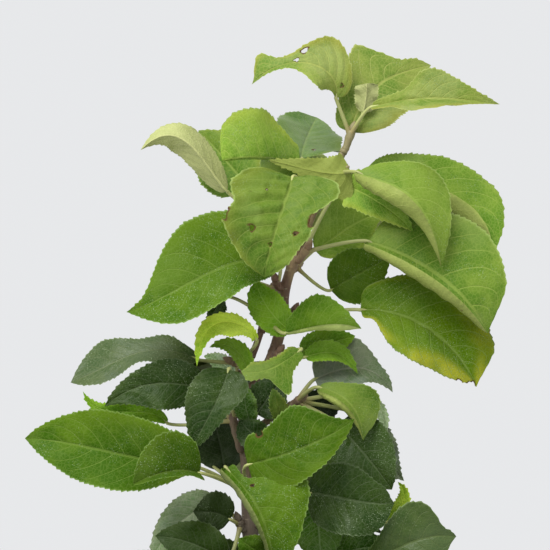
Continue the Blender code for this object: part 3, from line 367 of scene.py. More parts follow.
        grey_strip=leaf((-12, -2, 740), (-18, 1, 746), (-25, 4, 750), (-32, 8, 752), width=11,
            tone="bloom", wave=0, light=(4, 1)),
    )),
    Mass("left_dark_leaves", "trunk", foot=696, head=(-14, -10, 716), grown=1, leaves=dict(
        dark_left=leaf((-31, -12, 733), (-51, -18, 736), (-71, -20, 734), (-92, -20, 722),
            width=32, tone="dark", right=(1, 1, 0.95, 0.8, 0.8, 1), light=(1.08, 1),
            specks=(0.2, 0.8), blister=0.25),
        dark_hanging=leaf((-16, -30, 745), (-21, -38, 730), (-29, -40, 714), (-38, -36, 698),
            width=38, tone="dark", left=(1, 1, 0.9, 0.75, 0.6, 0.5, 0.5, 0.5, 0.6, 0.8, 1),
            light=(0.95, 1), specks=(0.3, 0.3), blister=0.25),
        left_behind=leaf((-54, -8, 711), (-71, -8, 718), (-91, -9, 719), (-106, -10, 731),
            width=11, tone="bright", light=(2, 1)),
    )),
    Mass("right_mid_leaves", "right_mid_bough", foot="tip", head=(28, -11, 726), leaves=dict(
        grey_blue=leaf((37, -4, 738), (53, -7, 744), (70, -9, 744), (85, -8, 730), width=42,
            tone="bloom", turn=(-20, 55), wave=3, point=1.4,
            left=(1, 1, 1, 0.95, 1, 1, 0.85, 0.65, 0.6, 0.8, 1)),
        right_pale_edge=leaf((39, -28, 734), (51, -34, 730), (61, -38, 720), (66, -34, 702),
            width=31, tone="mid", turn=(-38, 35), curl=(0, 150), flat=(0, 0.4),
            left=(0.5, 0.5, 0.55, 0.7, 0.95, 1.3, 1.6, 1.9, 2.1, 2.2, 1), light=(0.78, 1.3)),
        grey_edge=leaf((69, 2, 727), (76, 1, 721), (80, 0, 711), (77, -2, 696), width=7,
            tone="bloom", wave=0, light=(2.7, 1)),
        grey_right=leaf((74, 4, 710), (79, 5, 699), (84, 7, 686), (93, 9, 674), width=16,
            tone="bloom"),
        dark_speckled=leaf((51, -18, 711), (61, -23, 700), (73, -25, 686), (84, -20, 671),
            width=41, tone="dark", light=(1.15, 1), specks=(1, 0.3), blister=0.25),
    )),
    Mass("trunk_front_leaves", "trunk", foot=689, head=(2, -12, 702), leaves=dict(
        dark_trunk=leaf((1, -14, 717), (6, -14, 724), (12, -13, 732), (19, -10, 739), width=25,
            tone="shade", light=(2, 1)),
        small_folded=leaf((19, -14, 711), (16, -17, 718), (13, -18, 726), (11, -16, 733), width=11,
            tone="mid", wave=0, light=(0.55, 1)),
        dark_right=leaf((22, 7, 707), (34, 9, 716), (45, 10, 722), (59, 11, 726), width=25,
            tone="shade", light=(0.7, 1)),
        trunk_high=leaf((-2, -16, 711), (-5, -19, 719), (-6, -20, 727), (-5, -18, 735), width=14,
            tone="dark", widest=0.5, point=2.4, light=(3, 1)),
        trunk_low=leaf((8, -20, 698), (2, -23, 703), (-4, -24, 708), (-9, -22, 714), width=19,
            tone="shade", widest=0.5, point=2.4, light=(2.2, 1)),
    )),
    Mass("left_low_leaves", "trunk", foot=668, head=(-12, -12, 674), grown=1, leaves=dict(
        left_bright=leaf((-35, -24, 685), (-70, -32, 691), (-106, -34, 699), (-140, -28, 703),
            width=52, tone="bright", turn=(22, 5), wave=2, widest=0.56,
            left=(0.3, 0.5, 0.7, 0.83, 0.88, 0.88, 0.87, 0.87, 0.87, 0.93, 1),
            right=(1, 1, 0.97, 0.93, 0.9, 1), light=(0.82, 1), specks=(0.2, 0.1), blister=0.3),
        front_left=leaf((-33, -42, 683), (-45, -50, 685), (-58, -54, 683), (-73, -50, 677),
            width=51, tone="bright", turn=(75, 8), widest=0.45, left=(1, 0.4, 0.4, 0.4, 0.5, 1),
            right=(0.4, 0.65, 0.85, 0.92, 0.95, 0.95, 0.95, 0.95, 1, 1, 1), light=(0.7, 1),
            specks=(0.5, 0.8), blister=0.2),
        dark_centre=leaf((-19, 6, 681), (-21, 8, 693), (-24, 10, 706), (-27, 12, 719), width=31,
            tone="shade"),
    )),
    Mass("centre_low_leaves", "trunk", foot=665, head=(-3, -16, 673), leaves=dict(
        centre_bright=leaf((-4, -44, 688), (15, -54, 694), (38, -58, 703), (60, -52, 716),
            width=45, tone="bright", turn=(0, 10), point=1.5,
            left=(1.2, 1.1, 0.85, 0.85, 0.95, 1.15, 1.4, 1.5, 1.4, 1.2, 1),
            right=(1, 1.05, 0.98, 0.92, 0.86, 0.82, 0.82, 0.85, 0.85, 0.9, 1), light=(0.78, 1),
            blister=0.25, holes=((0.21, -1.0, 2.2),)),
        front_low=leaf((-17, -44, 686), (-3, -56, 671), (7, -62, 651), (12, -56, 623), width=64,
            tone="bright", turn=(-10, 40), curl=(0, 130), widest=0.5, flat=(0, 0.35),
            left=(0.5, 0.2, 0.2, 0.6, 1.05, 1.05, 0.95, 0.9, 0.95, 1, 1),
            right=(1, 0.7, 0.55, 0.5, 0.5, 0.48, 0.45, 0.45, 0.5, 0.8, 1), light=(0.86, 0.62),
            specks=(0.6, 0.2), blister=0.3, holes=((0.28, -0.32, 0.9),)),
    )),
    Mass("right_bottom_leaves", "low_right_bough", foot="tip", head=(23, -12, 664), grown=1,
         leaves=dict(
        low_right=leaf((33, -28, 670), (49, -35, 668), (67, -38, 665), (85, -34, 664), width=43,
            tone="dark", wave=2, left=(1, 1, 1, 1, 1, 1, 1, 1, 1.1, 1.4, 1),
            right=(1, 1, 1, 1, 1, 1, 1.1, 1.3, 1.6, 1.8, 1), light=(1.1, 1), specks=(0.2, 0.5),
            blister=0.25),
        bottom_centre=leaf((39, -8, 664), (39, -13, 651), (40, -15, 637), (41, -14, 622), width=32,
            tone="dark", light=(3, 1)),
        small_light=leaf((82, -5, 650), (88, -7, 657), (92, -8, 666), (88, -8, 675), width=9,
            tone="lime", light=(1.1, 1)),
    )),
    Mass("bottom_left_leaves", "trunk", foot=646, head=(-10, -7, 651), leaves=dict(
        bottom_dark=leaf((-15, -12, 652), (-23, -14, 656), (-30, -14, 657), (-38, -13, 657),
            width=27, tone="dark", light=(0.65, 1), specks=(0.3, 0.3)),
        bottom_left_grey=leaf((-24, -2, 662), (-37, -4, 656), (-52, -5, 644), (-65, -6, 624),
            width=27, tone="bloom", light=(2.3, 1)),
        bottom_left_dark=leaf((-18, -20, 628), (-32, -24, 636), (-46, -25, 641), (-61, -22, 643),
            width=30, tone="dark", light=(1.05, 1)),
    )),
    Mass("bottom_right_leaves", "bottom_right_bough", foot="tip", head=(35, -12, 619), grown=2,
         leaves=dict(
        bottom_right=leaf((60, -20, 621), (78, -26, 631), (99, -29, 641), (123, -26, 643),
            width=46, tone="sheen", wave=2, widest=0.55, point=2.6,
            left=(0.5, 0.25, 0.3, 0.42, 0.56, 0.75, 0.95, 1.12, 1.15, 0.5, 0.8),
            right=(1, 1, 1, 1, 1, 1, 1, 1, 1.1, 1.3, 1), light=(0.52, 1), blister=0.2),
        bottom_mid_right=leaf((46, -8, 625), (57, -12, 632), (70, -13, 635), (82, -12, 635),
            width=27, tone="dark", light=(2.6, 1)),
    )),
    Mass("front_below_leaves", "trunk", foot=616, head=(-1, -14, 624), grown=3, leaves=dict(
        bottom_front=leaf((11, -44, 627), (5, -49, 634), (-3, -53, 640), (-9, -54, 645), width=22,
            tone="bright", light=(0.8, 1)),
    )),
)


def unit(vectors):
    """Vectors of length one along the given ones."""
    lengths = np.linalg.norm(vectors, axis=-1, keepdims=True)
    return vectors / np.maximum(lengths, 1e-9)


def smooth_path(points, per_span):
    """Points on a Catmull-Rom curve through the given rows, which may hold a radius too."""
    rows = np.array(points, float)
    padded = np.vstack((2 * rows[0] - rows[1], rows, 2 * rows[-1] - rows[-2]))
    before, start, end, after = (padded[k:len(padded) - 3 + k, None] for k in range(4))
    t = (np.arange(per_span) / per_span)[:, None]
    path = 0.5 * (2 * start + (end - before) * t
                  + (2 * before - 5 * start + 4 * end - after) * t ** 2
                  + (3 * start - before - 3 * end + after) * t ** 3)
    return np.vstack((path.reshape(-1, rows.shape[1]), rows[-1:]))


def off_limb(path, height, towards):
    """The place just off a limb's bark at a height, towards a point, and the way outwards."""
    order = np.arange(len(path))
    index = np.interp(height, path[:, 2], order)
    axis = np.array([np.interp(index, order, path[:, k]) for k in range(4)])
    low, high = path[int(index)], path[min(int(index) + 1, len(path) - 1)]
    tangent = unit((high - low)[:3])
    outward = np.array(towards, float) - axis[:3]
    outward = unit(outward - (outward @ tangent) * tangent)
    return axis[:3] + outward * (axis[3] + GAP), outward


def level_way(angle):
    """The level direction at an angle in degrees, counted from +X."""
    turn = math.radians(angle)
    return np.array((math.cos(turn), math.sin(turn), 0.0))


def off_trunk(height, way):
    """The place just off the trunk's bark at a height, in a direction, and the way outwards."""
    return off_limb(TRUNK, height, way * FAR_OUT + UP * height)


def inside_limb(path):
    """The point that a path starts from, inside the limb that carries it."""
    return path[0] - (path[1] - path[0]) * ROOTED


def running_length(path):
    """How far along a path each of its points is."""
    steps = np.linalg.norm(np.diff(path, axis=0), axis=1)
    return np.concatenate(((0,), np.cumsum(steps)))


def bough_path(bough):
    """A bough's axis and radius: off the trunk at a right angle, then through its points."""
    foot, outward = off_limb(TRUNK, bough.foot, bough.points[0])
    first = foot + outward * bough.radii[0]
    axis = np.vstack((foot, smooth_path((first, *bough.points), 2)))
    share = np.linspace(0, 1, len(axis))
    knots = np.linspace(0, 1, len(bough.radii))
    return np.column_stack((axis, np.interp(share, knots, bough.radii)))


def spur_path(mass, limbs):
    """A mass's own stem: from a limb's bark at a height, or from its tip, to the spur's head."""
    head = np.array(mass.head, float)
    path = limbs[mass.limb]
    if mass.foot == "tip":
        onward = unit(path[-1, :3] - path[-2, :3])
        foot = path[-1, :3] + onward * GAP
    else:
        foot, onward = off_limb(path, mass.foot, head)
    return np.array((foot, foot + onward * SPUR_STRAIGHT, head))


def spur_root(path):
    """The point inside the spur's head that its petioles start from."""
    return path[-1] - unit(path[-1] - path[-2]) * SPUR_HEAD_RADIUS


def lower_rosettes():
    """Boughs round the lower trunk, each a golden angle on from the last, and their masses."""
    boughs, masses = [], []
    heights = np.linspace(*LOWER_HEIGHTS, LOWER_ROSETTES)
    lengths = np.linspace(*LOWER_LENGTHS, LOWER_ROSETTES)
    for index, (height, length) in enumerate(zip(heights, lengths)):
        foot, outward = off_trunk(height, level_way(LOWER_START + GOLDEN_ANGLE * index))
        middle = foot + (outward * 0.55 + UP * 0.18) * length
        tip = foot + (outward + UP * 0.5) * length
        name = f"lower_bough_{index + 1}"
        boughs.append(Bough(name, height, (middle, tip), LOWER_RADII))
        head = tip + unit(tip - middle) * SPUR_LENGTH
        masses.append(Mass(f"lower_leaves_{index + 1}", name, "tip", head, grown=LOWER_LEAVES))
    return boughs, masses


def behind_rosettes():
    """The masses on the side away from the viewer, each on its own spur off the trunk."""
    masses = []
    for name, height, angle, count in BEHIND:
        way = level_way(angle) + UP * BEHIND_RISE
        foot = off_trunk(height, way)[0]
        masses.append(Mass(name, "trunk", height, foot + way * SPUR_LENGTH, grown=count))
    return masses


def grown_leaf(head, angle, chance):
    """One leaf by the rule: out from the head on its petiole, arched, its face up."""
    level = level_way(angle + chance.uniform(-GROWN_SPREAD, GROWN_SPREAD))
    rise = math.radians(chance.uniform(*GROWN_RISE))
    out = level * math.cos(rise) + UP * math.sin(rise)
    length = chance.uniform(*GROWN_LENGTH)
    width = length * chance.uniform(*GROWN_SLENDERNESS)
    sag = chance.uniform(*GROWN_SAG)
    base = head + out * chance.uniform(*GROWN_PETIOLE) + UP * GROWN_LIFT
    onward = unit(out * 0.7 + level * 0.3)
    places = [base + onward * length * share - UP * sag * share ** 2
              for share in (0, 1 / 3, 2 / 3, 1)]
    roll = chance.uniform(-GROWN_ROLL, GROWN_ROLL)
    face = UP + level * chance.uniform(*GROWN_LEAN) + np.cross(UP, level) * roll
    fold = chance.uniform(*GROWN_FOLD)
    return leaf(*places, width, turn=(fold, fold), face=face, wave=chance.uniform(*GROWN_WAVE))


def solid_points(node):
    """The corners of a solid of the frame, in millimetres."""
    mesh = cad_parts[node].data
    points = np.empty(len(mesh.vertices) * 3, np.float32)
    mesh.vertices.foreach_get("co", points)
    return points.reshape(-1, 3) / MM


def grow_leaves(mass, head, angle):
    """The mass's leaves by the solid's rule: of those drawn, the ones whose tip the solid has."""
    chance = random.Random(f"{SEED} {mass.name}")
    corners = solid_points(mass.name)
    made = []
    for _ in range(mass.grown * GROWN_TRIES):
        if len(made) == mass.grown:
            break
        spec = grown_leaf(head, angle, chance)
        apart = np.linalg.norm(corners - spec["midrib"][3], axis=1)
        if apart.min() < TIP_FOUND:
            made.append(spec)
    return made


def lay_out_tree():
    """Every limb's path, and every mass with its spur's path and its leaves."""
    boughs, lower = lower_rosettes()
    limbs = {"trunk": TRUNK}
    limbs.update((bough.name, bough_path(bough)) for bough in (*BOUGHS, *boughs))
    grown = []
    for mass in (*MASSES, *behind_rosettes(), *lower):
        path = spur_path(mass, limbs)
        angle = math.degrees(math.atan2(path[-1][1], path[-1][0]))
        if mass.name.startswith("behind"):
            angle = BEHIND_FACING
        leaves = [*mass.leaves.values(), *grow_leaves(mass, spur_root(path), angle)]
        grown.append((mass, path, leaves))
    return limbs, grown


LIMBS, GROWN = lay_out_tree()


def angles_round(sides):
    """Even steps of one turn, in radians."""
    return np.arange(sides) * 2 * math.pi / sides


def grid_cells(index):
    """The four corners of each cell of a grid of numbered points."""
    return np.stack((index[:-1, :-1], index[:-1, 1:], index[1:, 1:], index[1:, :-1]), -1)


class Patchwork:
    """Points and faces gathered from many parts into one mesh."""

    def __init__(self):
        self.points, self.faces, self.slots = [], [], []
        self.maps, self.marks = [], []
        self.count = 0

    def add_points(self, places, along, across, marks):
        """Add points with their place on the part's own map and their marks, and number them."""
        places = places.reshape(-1, 3)
        first = self.count
        self.count += len(places)
        self.points.append(places)
        self.maps.append(np.column_stack((np.ravel(along), np.ravel(across))))
        self.marks.append(np.broadcast_to(marks, (len(places), 3)))
        return np.arange(first, self.count)

    def add_faces(self, faces, slot):
        """Add faces of four corners. One whose neighbouring corners are the same is a triangle."""
        faces = faces.reshape(-1, 4)
        for start in range(4):
            same = faces[:, start] == faces[:, (start + 1) % 4]
            faces[same] = np.roll(faces[same], 2 - start, axis=1)
        flat = ((faces[:, 0] == faces[:, 1]) | (faces[:, 1] == faces[:, 2])
                | (faces[:, 0] == faces[:, 2]))
        faces = faces[~flat]
        self.faces.append(faces)
        self.slots.append(np.full(len(faces), slot))

    def add_rings(self, places, along, angle, poles, marks):
        """Add a closed shape: rings of points, a row each, joined to a pole at either end."""
        shape = places.shape[:2]
        along = np.broadcast_to(along[:, None], shape)
        across = np.broadcast_to(angle / (2 * math.pi), shape)
        rings = self.add_points(places, along, across, marks).reshape(shape)
        start, end = self.add_points(poles, (0, 0), (0, 0), marks)
        index = np.vstack((np.full(shape[1], start), rings, np.full(shape[1], end)))
        self.add_faces(grid_cells(np.column_stack((index, index[:, 0]))), 0)

    def build(self, name, materials):
        """The mesh object: points in metres, smooth faces, sharp where two materials meet."""
        points, faces = np.vstack(self.points) * MM, np.vstack(self.faces)
        three = faces[:, 2] == faces[:, 3]
        used = np.ones(faces.shape, bool)
        used[three, 3] = False
        corners = faces[used]
        sizes = np.where(three, 3, 4)
        mesh = bpy.data.meshes.new(name)
        mesh.vertices.add(len(points))
        mesh.vertices.foreach_set("co", points.astype(np.float32).ravel())
        mesh.loops.add(len(corners))
        mesh.loops.foreach_set("vertex_index", corners.astype(np.int32))
        mesh.polygons.add(len(faces))
        starts = np.concatenate(((0,), np.cumsum(sizes)[:-1]))
        mesh.polygons.foreach_set("loop_start", starts.astype(np.int32))
        mesh.polygons.foreach_set("loop_total", sizes.astype(np.int32))
        for made in materials:
            mesh.materials.append(made)
        slots = np.concatenate(self.slots).astype(np.int32)
        mesh.polygons.foreach_set("material_index", slots)
        mesh.update(calc_edges=True)
        self.mark_sharp(mesh, np.repeat(slots, sizes))
        layer = mesh.uv_layers.new(name="part_map")
        layer.data.foreach_set("uv", np.vstack(self.maps)[corners].astype(np.float32).ravel())
        marks = np.vstack(self.marks).astype(np.float32)
        # The light mark: a lightness factor for each point; on leaves it holds painted light and
        # shade besides their own tone, on stalks and crumbs a random tone
        for column, mark in enumerate(("light", "scar", "specks")):
            attribute = mesh.attributes.new(mark, "FLOAT", "POINT")
            attribute.data.foreach_set("value", marks[:, column].copy())
        piece = bpy.data.objects.new(name, mesh)
        bpy.context.scene.collection.objects.link(piece)
        return piece

    @staticmethod
    def mark_sharp(mesh, slots):
        """Mark each edge whose two faces have different materials."""
        edges = np.empty(len(mesh.loops), np.int32)
        mesh.loops.foreach_get("edge_index", edges)
        low = np.full(len(mesh.edges), 1 << 20)
        high = np.full(len(mesh.edges), -1)
        np.minimum.at(low, edges, slots)
        np.maximum.at(high, edges, slots)
        sharp = mesh.attributes.new("sharp_edge", "BOOLEAN", "EDGE")
        sharp.data.foreach_set("value", low != high)


def hand_in(piece, slot, *nodes):
    """Let a finished piece ride on the tree and stand for its solids."""
    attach(piece, "root")
    if nodes:
        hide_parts(*nodes)


def frames_along(path):
    """Two directions square to a path at each of its points, turned as little as possible."""
    tangent = unit(np.gradient(path, axis=0))
    helper = UP if abs(tangent[0][2]) < 0.9 else np.array((0, 1.0, 0))
    side = np.empty_like(path)
    side[0] = unit(np.cross(tangent[0], helper))
    for k in range(1, len(path)):
        side[k] = unit(side[k - 1] - (side[k - 1] @ tangent[k]) * tangent[k])
    return side, np.cross(tangent, side)


def add_tube(patchwork, path, radii, mark):
    """A closed tube: rings of the given radii, an array of ring by side, about a path."""
    side, up = frames_along(path)
    angle = angles_round(radii.shape[1])
    places = (path[:, None] + radii[..., None] * (np.cos(angle)[:, None] * side[:, None]
                                                  + np.sin(angle)[:, None] * up[:, None]))
    patchwork.add_rings(places, running_length(path) / 100, angle, path[[0, -1]], (mark, 0, 0))


def half_width(along, widest, point):
    """The outline: an ellipse up to the widest place, then a curve that narrows to the tip."""
    below = np.sqrt(np.clip(1 - ((widest - along) / widest) ** 2, 0, 1)) ** 0.9
    rest = np.clip((along - widest) / (1 - widest), 0, 1)
    above = (1 - rest ** point) * (1 - 0.22 * rest ** 2)
    return np.where(along < widest, below, above)


def width_factor(spec, along, right):
    """The factor on a half's width along the leaf, on a smooth curve through its factors."""
    sides = []
    for factors in spec["factors"]:
        curve = smooth_path(np.array(factors, float)[:, None], 8)[:, 0]
        sides.append(np.interp(along, np.linspace(0, 1, len(curve)), curve))
    return np.where(right, sides[1], sides[0])


def vein_count(along, across):
    """How many lateral veins have left the midrib before a place, each one curving forward."""
    distance = np.abs(across)
    forward = VEIN_FORWARD[0] * distance + VEIN_FORWARD[1] * distance ** 2
    return LATERAL_VEINS * (along - forward) + np.where(across > 0, 0.5, 0.0)


def midrib_cubic(spec):
    """The factors of the four powers in the cubic through a midrib's points."""
    powers = np.vander(np.array((0, 1 / 3, 2 / 3, 1.0)), 4, increasing=True)
    return np.linalg.solve(powers, spec["midrib"])


def tooth_heights(along, right, teeth, phase):
    """How far the margin stands out, 0 to 1: teeth that lean forward, none at the ends."""
    rising = np.clip((along * teeth) % 1 / TOOTH_PLACES[-1], 0, 1)
    which = np.floor(along * teeth + 1e-6)
    uneven = 0.72 + 0.28 * np.sin(which * 2.4 + phase + 3 * right)
    fade = np.clip((along - 0.06) / 0.1, 0, 1) * np.clip((0.985 - along) / 0.05, 0, 1)
    return rising * uneven * fade


def blade_relief(spec, along, across, outline, from_rib, quilting, phase):
    """How far a blade bulges, in mm: quilted between its veins, and blistered all over."""
    quilt = np.sin(math.pi * vein_count(along, across)) ** 2
    patchy = 0.65 + 0.35 * np.sin(11 * along + phase[1]) * np.sin(5 * across + phase[2])
    bulge = (quilting + BLISTER_QUILTING * spec["blister"]) * patchy * quilt
    fade = (1 - across ** 6) * np.clip(outline * 1.5, 0, 1) * (1 - np.exp(-(from_rib / 3.5) ** 2))
    bubbles = (np.sin(31 * along + 7 * across + phase[0]) * np.sin(19 * across + phase[1])
               + np.sin(47 * along - 11 * across + phase[2]))
    return bulge * fade + (BUBBLES + BLISTER_BUBBLES * spec["blister"]) * bubbles * outline


def blade(spec, along, across, teeth, sizes, chance):
    """Places on the middle surface of a leaf, its normals there, and how far off its rib.

    along runs from 0 at the base to 1 at the tip, across from -1 at the left margin to 1
    at the right one. The midrib is the cubic through its four points. Each half turns
    away from it by its turn as far as its flat part goes, and from there on more and
    more, until the margin is at turn + curl. The margin has forward teeth, and the blade
    bulges between its lateral veins.
    """
    line, cubic = along[:, 0], midrib_cubic(spec)
    centre = np.vander(line, 4, increasing=True) @ cubic
    slope = np.stack((0 * line, 1 + 0 * line, 2 * line, 3 * line ** 2), -1) @ cubic
    tangent = unit(slope)
    normal = unit(spec["face"] - (tangent @ spec["face"])[:, None] * tangent)
    side = np.cross(tangent, normal)
    right = across > 0
    turn = np.radians(np.where(right, spec["turn"][1], spec["turn"][0]))
    curl = np.radians(np.where(right, spec["curl"][1], spec["curl"][0])) + 1e-4
    flat = np.where(right, spec["flat"][1], spec["flat"][0])
    distance = np.abs(across)
    outline = half_width(along, spec["widest"], spec["point"]) * width_factor(spec, along, right)
    phase = [chance.uniform(0, 2 * math.pi) for _ in range(6)]
    height = sizes.tooth_height / MM * tooth_heights(along, right, teeth, phase[0])
    reach = outline * spec["width"] / 2 + height * distance ** 20
    straight = np.minimum(distance, flat)
    lean = turn + curl * np.maximum(distance - flat, 0) / (1 - flat)
    out = reach * (straight * np.cos(turn)
                   + (1 - flat) * (np.sin(lean) - np.sin(turn)) / curl)
    up = reach * (straight * np.sin(turn)
                  + (1 - flat) * (np.cos(turn) - np.cos(lean)) / curl)
    swing = np.sin(2 * math.pi * WAVES * along + np.where(right, 0.0, 1.9))
    ripple = (np.sin(9 * along + 3 * across + phase[1])
              + 0.7 * np.sin(15 * along - 5 * across + phase[2]))
    up = up + (spec["wave"] * swing * distance ** 1.6 + RIPPLE * ripple) * outline
    from_rib = reach * distance
    quilting = sizes.vein_relief / MM
    relief = blade_relief(spec, along, across, outline, from_rib, quilting, phase[3:])
    facing = (np.cos(lean)[..., None] * normal[:, None]
              - (np.sign(across) * np.sin(lean))[..., None] * side[:, None])
    places = (centre[:, None] + (np.sign(across) * out)[..., None] * side[:, None]
              + up[..., None] * normal[:, None] + relief[..., None] * facing)
    return places, facing, from_rib


def snap_to_holes(along, across, spec, length):
    """Find the cells inside each hole and draw the points round them onto its rim."""
    gone = np.zeros((len(along) - 1, along.shape[1] - 1), bool)
    scar = np.zeros(along.shape)
    for number, (centre, sideways, radius) in enumerate(spec["holes"]):
        wide = half_width(np.array(centre), spec["widest"], spec["point"]) * spec["width"] / 2
        wide = wide * width_factor(spec, centre, sideways > 0)
        down, over = (along - centre) * length, (across - sideways) * wide
        bearing = np.arctan2(over, down)
        uneven = radius * (1 + HOLE_UNEVENNESS * np.sin(3 * bearing + number))
        away = np.hypot(down, over) / uneven
        middle = (away[:-1, :-1] + away[1:, :-1] + away[:-1, 1:] + away[1:, 1:]) / 4
        inside = middle < 1
        inside.flat[np.argmin(middle)] = True
        inner, outer = np.zeros(along.shape, bool), np.zeros(along.shape, bool)
        for rows in (slice(None, -1), slice(1, None)):
            for columns in (slice(None, -1), slice(1, None)):
                inner[rows, columns] |= inside
                outer[rows, columns] |= ~inside
        rim = inner & outer & (np.abs(across) < 0.999)
        pull = np.where(rim, 1 / np.maximum(away, 0.05), 1.0)
        along = centre + (along - centre) * pull
        across = sideways + (across - sideways) * pull
        near = np.clip(SCAR_REACH - np.maximum(away, 1), 0, 1)
        scar = np.maximum(scar, near * SCAR_REACH)
        gone |= inside
    return along, across, gone, scar


def leaf_columns(spec, columns):
    """Where the columns of a leaf's grid run, closer together where a hole needs them."""
    across = [0.0, *columns, *(-place for place in columns)]
    for _, sideways, radius in spec["holes"]:
        spread = 2.2 * radius / spec["width"]
        across.extend(sideways + spread * step for step in (-1, -0.6, -0.2, 0.2, 0.6, 1))
    across = np.unique(np.clip(across, -1, 1))
    apart = np.diff(across, prepend=-2) > CLOSEST_COLUMNS
    return across[apart | np.isin(across, (0.0, 1.0))]


def add_leaf(patchwork, spec, columns, slot, sizes, chance):
    """A leaf with two sides that share their margin: top and underside grids, holes walled."""
    length = running_length(spec["midrib"])[-1]
    teeth = max(FEWEST_TEETH, round(length / TOOTH_LENGTH))
    rows = np.add.outer(np.arange(teeth), TOOTH_PLACES).ravel() / teeth
    rows = np.append(rows, 1.0)
    across = leaf_columns(spec, columns)
    along, across = (grid.copy() for grid in np.meshgrid(rows, across, indexing="ij"))
    along, across, gone, scar = snap_to_holes(along, across, spec, length)
    places, facing, away = blade(spec, along, across, teeth, sizes, chance)
    inner = np.clip((1 - np.abs(across)) * 12, 0, 1)
    ends = np.clip(np.minimum(along, 1 - along) * 40, 0, 1)
    half = sizes.blade_thickness / MM / 2 * inner * ends
    taper = 1 - 0.75 * along
    depth, height = sizes.groove_depth / MM, sizes.rib_height / MM
    groove = depth * np.exp(-(away / 0.9) ** 2) * taper * inner * ends
    rib = height * np.exp(-(away / (0.9 * taper)) ** 2) * taper * ends
    side_vein = np.clip(1 - np.abs((vein_count(along, across) + 0.5) % 1 - 0.5) * 9, 0, 1)
    rib = rib + SIDE_VEIN_HEIGHT * side_vein * inner * ends
    top = places + (half - groove)[..., None] * facing
    under = places - (half + rib)[..., None] * facing
    specks = np.interp(across, (-0.1, 0.1), spec["specks"])
    own = DARKEST + LIGHTNESS_RANGE * chance.random()
    # Each side's light mark: the leaf's own lightness times its light factor, which is partly
    # painted light and shade
    marks = [np.stack((np.full(along.shape, own * light), scar, specks), -1).reshape(-1, 3)
             for light in spec["light"]]
    maps = (along, (across + 1) / 2)
    upper = patchwork.add_points(top, *maps, marks[0]).reshape(along.shape)
    lower = patchwork.add_points(under, *maps, marks[1]).reshape(along.shape)
    upper[0], upper[-1] = upper[0, 0], upper[-1, 0]
    lower[0], lower[-1] = upper[0, 0], upper[-1, 0]
    lower[:, 0], lower[:, -1] = upper[:, 0], upper[:, -1]
    patchwork.add_faces(grid_cells(upper)[~gone], slot)
    patchwork.add_faces(grid_cells(lower)[~gone][:, (0, 3, 2, 1)], slot + 1)
    if gone.any():
        wall_holes(patchwork, gone, upper, lower, slot)


def wall_holes(patchwork, gone, upper, lower, slot):
    """Walls between the two sides of a leaf round the cells that are gone."""
    kept = np.pad(~gone, 1)
    middle = kept[1:-1, 1:-1]
    for (row, column), start, end in (
            ((0, -1), (0, 0), (1, 0)), ((0, 1), (1, 1), (0, 1)),
            ((-1, 0), (0, 1), (0, 0)), ((1, 0), (1, 0), (1, 1))):
        other = kept[1 + row:kept.shape[0] - 1 + row, 1 + column:kept.shape[1] - 1 + column]
        at = np.argwhere(~middle & other)
        a, b = at + start, at + end
        first, second = (tuple(a.T), tuple(b.T))
        faces = np.stack((upper[second], upper[first], lower[first], lower[second]), -1)
        patchwork.add_faces(faces, slot)


def petiole_line(root, spec):
    """A petiole's arch from the spur's head to the blade's base, then on along its rib."""
    base, lower = spec["midrib"][:2]
    onward = unit(lower - base)
    bend = base - onward * np.linalg.norm(base - root) * PETIOLE_BEND
    t = PETIOLE_SHARES[:, None]
    arch = (1 - t) ** 2 * root + 2 * t * (1 - t) * bend + t ** 2 * base
    run = np.linspace(0, RIB_RUN, 6)[1:]
    depth = np.linspace(0.45, 0.75, len(run))[:, None]
    rib = np.vander(run, 4, increasing=True) @ midrib_cubic(spec)
    under = -unit(spec["face"] - (onward @ spec["face"]) * onward)
    return np.vstack((arch, rib + under * depth))


def add_petiole(patchwork, root, spec, chance):
    """A petiole: a little swollen where it leaves the spur, thin in the middle."""
    path = petiole_line(root, spec)
    shares = len(PETIOLE_SHARES)
    t = np.concatenate((PETIOLE_SHARES, np.ones(len(path) - shares)))
    radius = PETIOLE_RADII[0] + (PETIOLE_RADII[1] - PETIOLE_RADII[0]) * t ** 0.5
    radius = (radius + PETIOLE_SWELLINGS[0] * np.exp(-(t / 0.07) ** 2)
              + PETIOLE_SWELLINGS[1] * np.exp(-((1 - t) / 0.05) ** 2))
    radius[shares:] *= np.linspace(0.8, 0.2, len(path) - shares)
    shape = 1 + 0.07 * np.cos(2 * angles_round(PETIOLE_SIDES) + chance.uniform(0, 6))
    add_tube(patchwork, path, radius[:, None] * shape, chance.random())


def bark_pores(along, around, chance, count):
    """The pores on a limb's bark: count of them at random, each a smooth mound."""
    raised = np.zeros(np.broadcast_shapes(along.shape, around.shape))
    for _ in range(count):
        at, turn = chance.uniform(0, 1) * along.max(), chance.uniform(0, 2 * math.pi)
        apart = (around - turn + math.pi) % (2 * math.pi) - math.pi
        raised = raised + PORE_HEIGHT * np.exp(-((along - at) / PORE_LENGTH) ** 2
                                               - (apart / PORE_WIDTH) ** 2)
    return raised


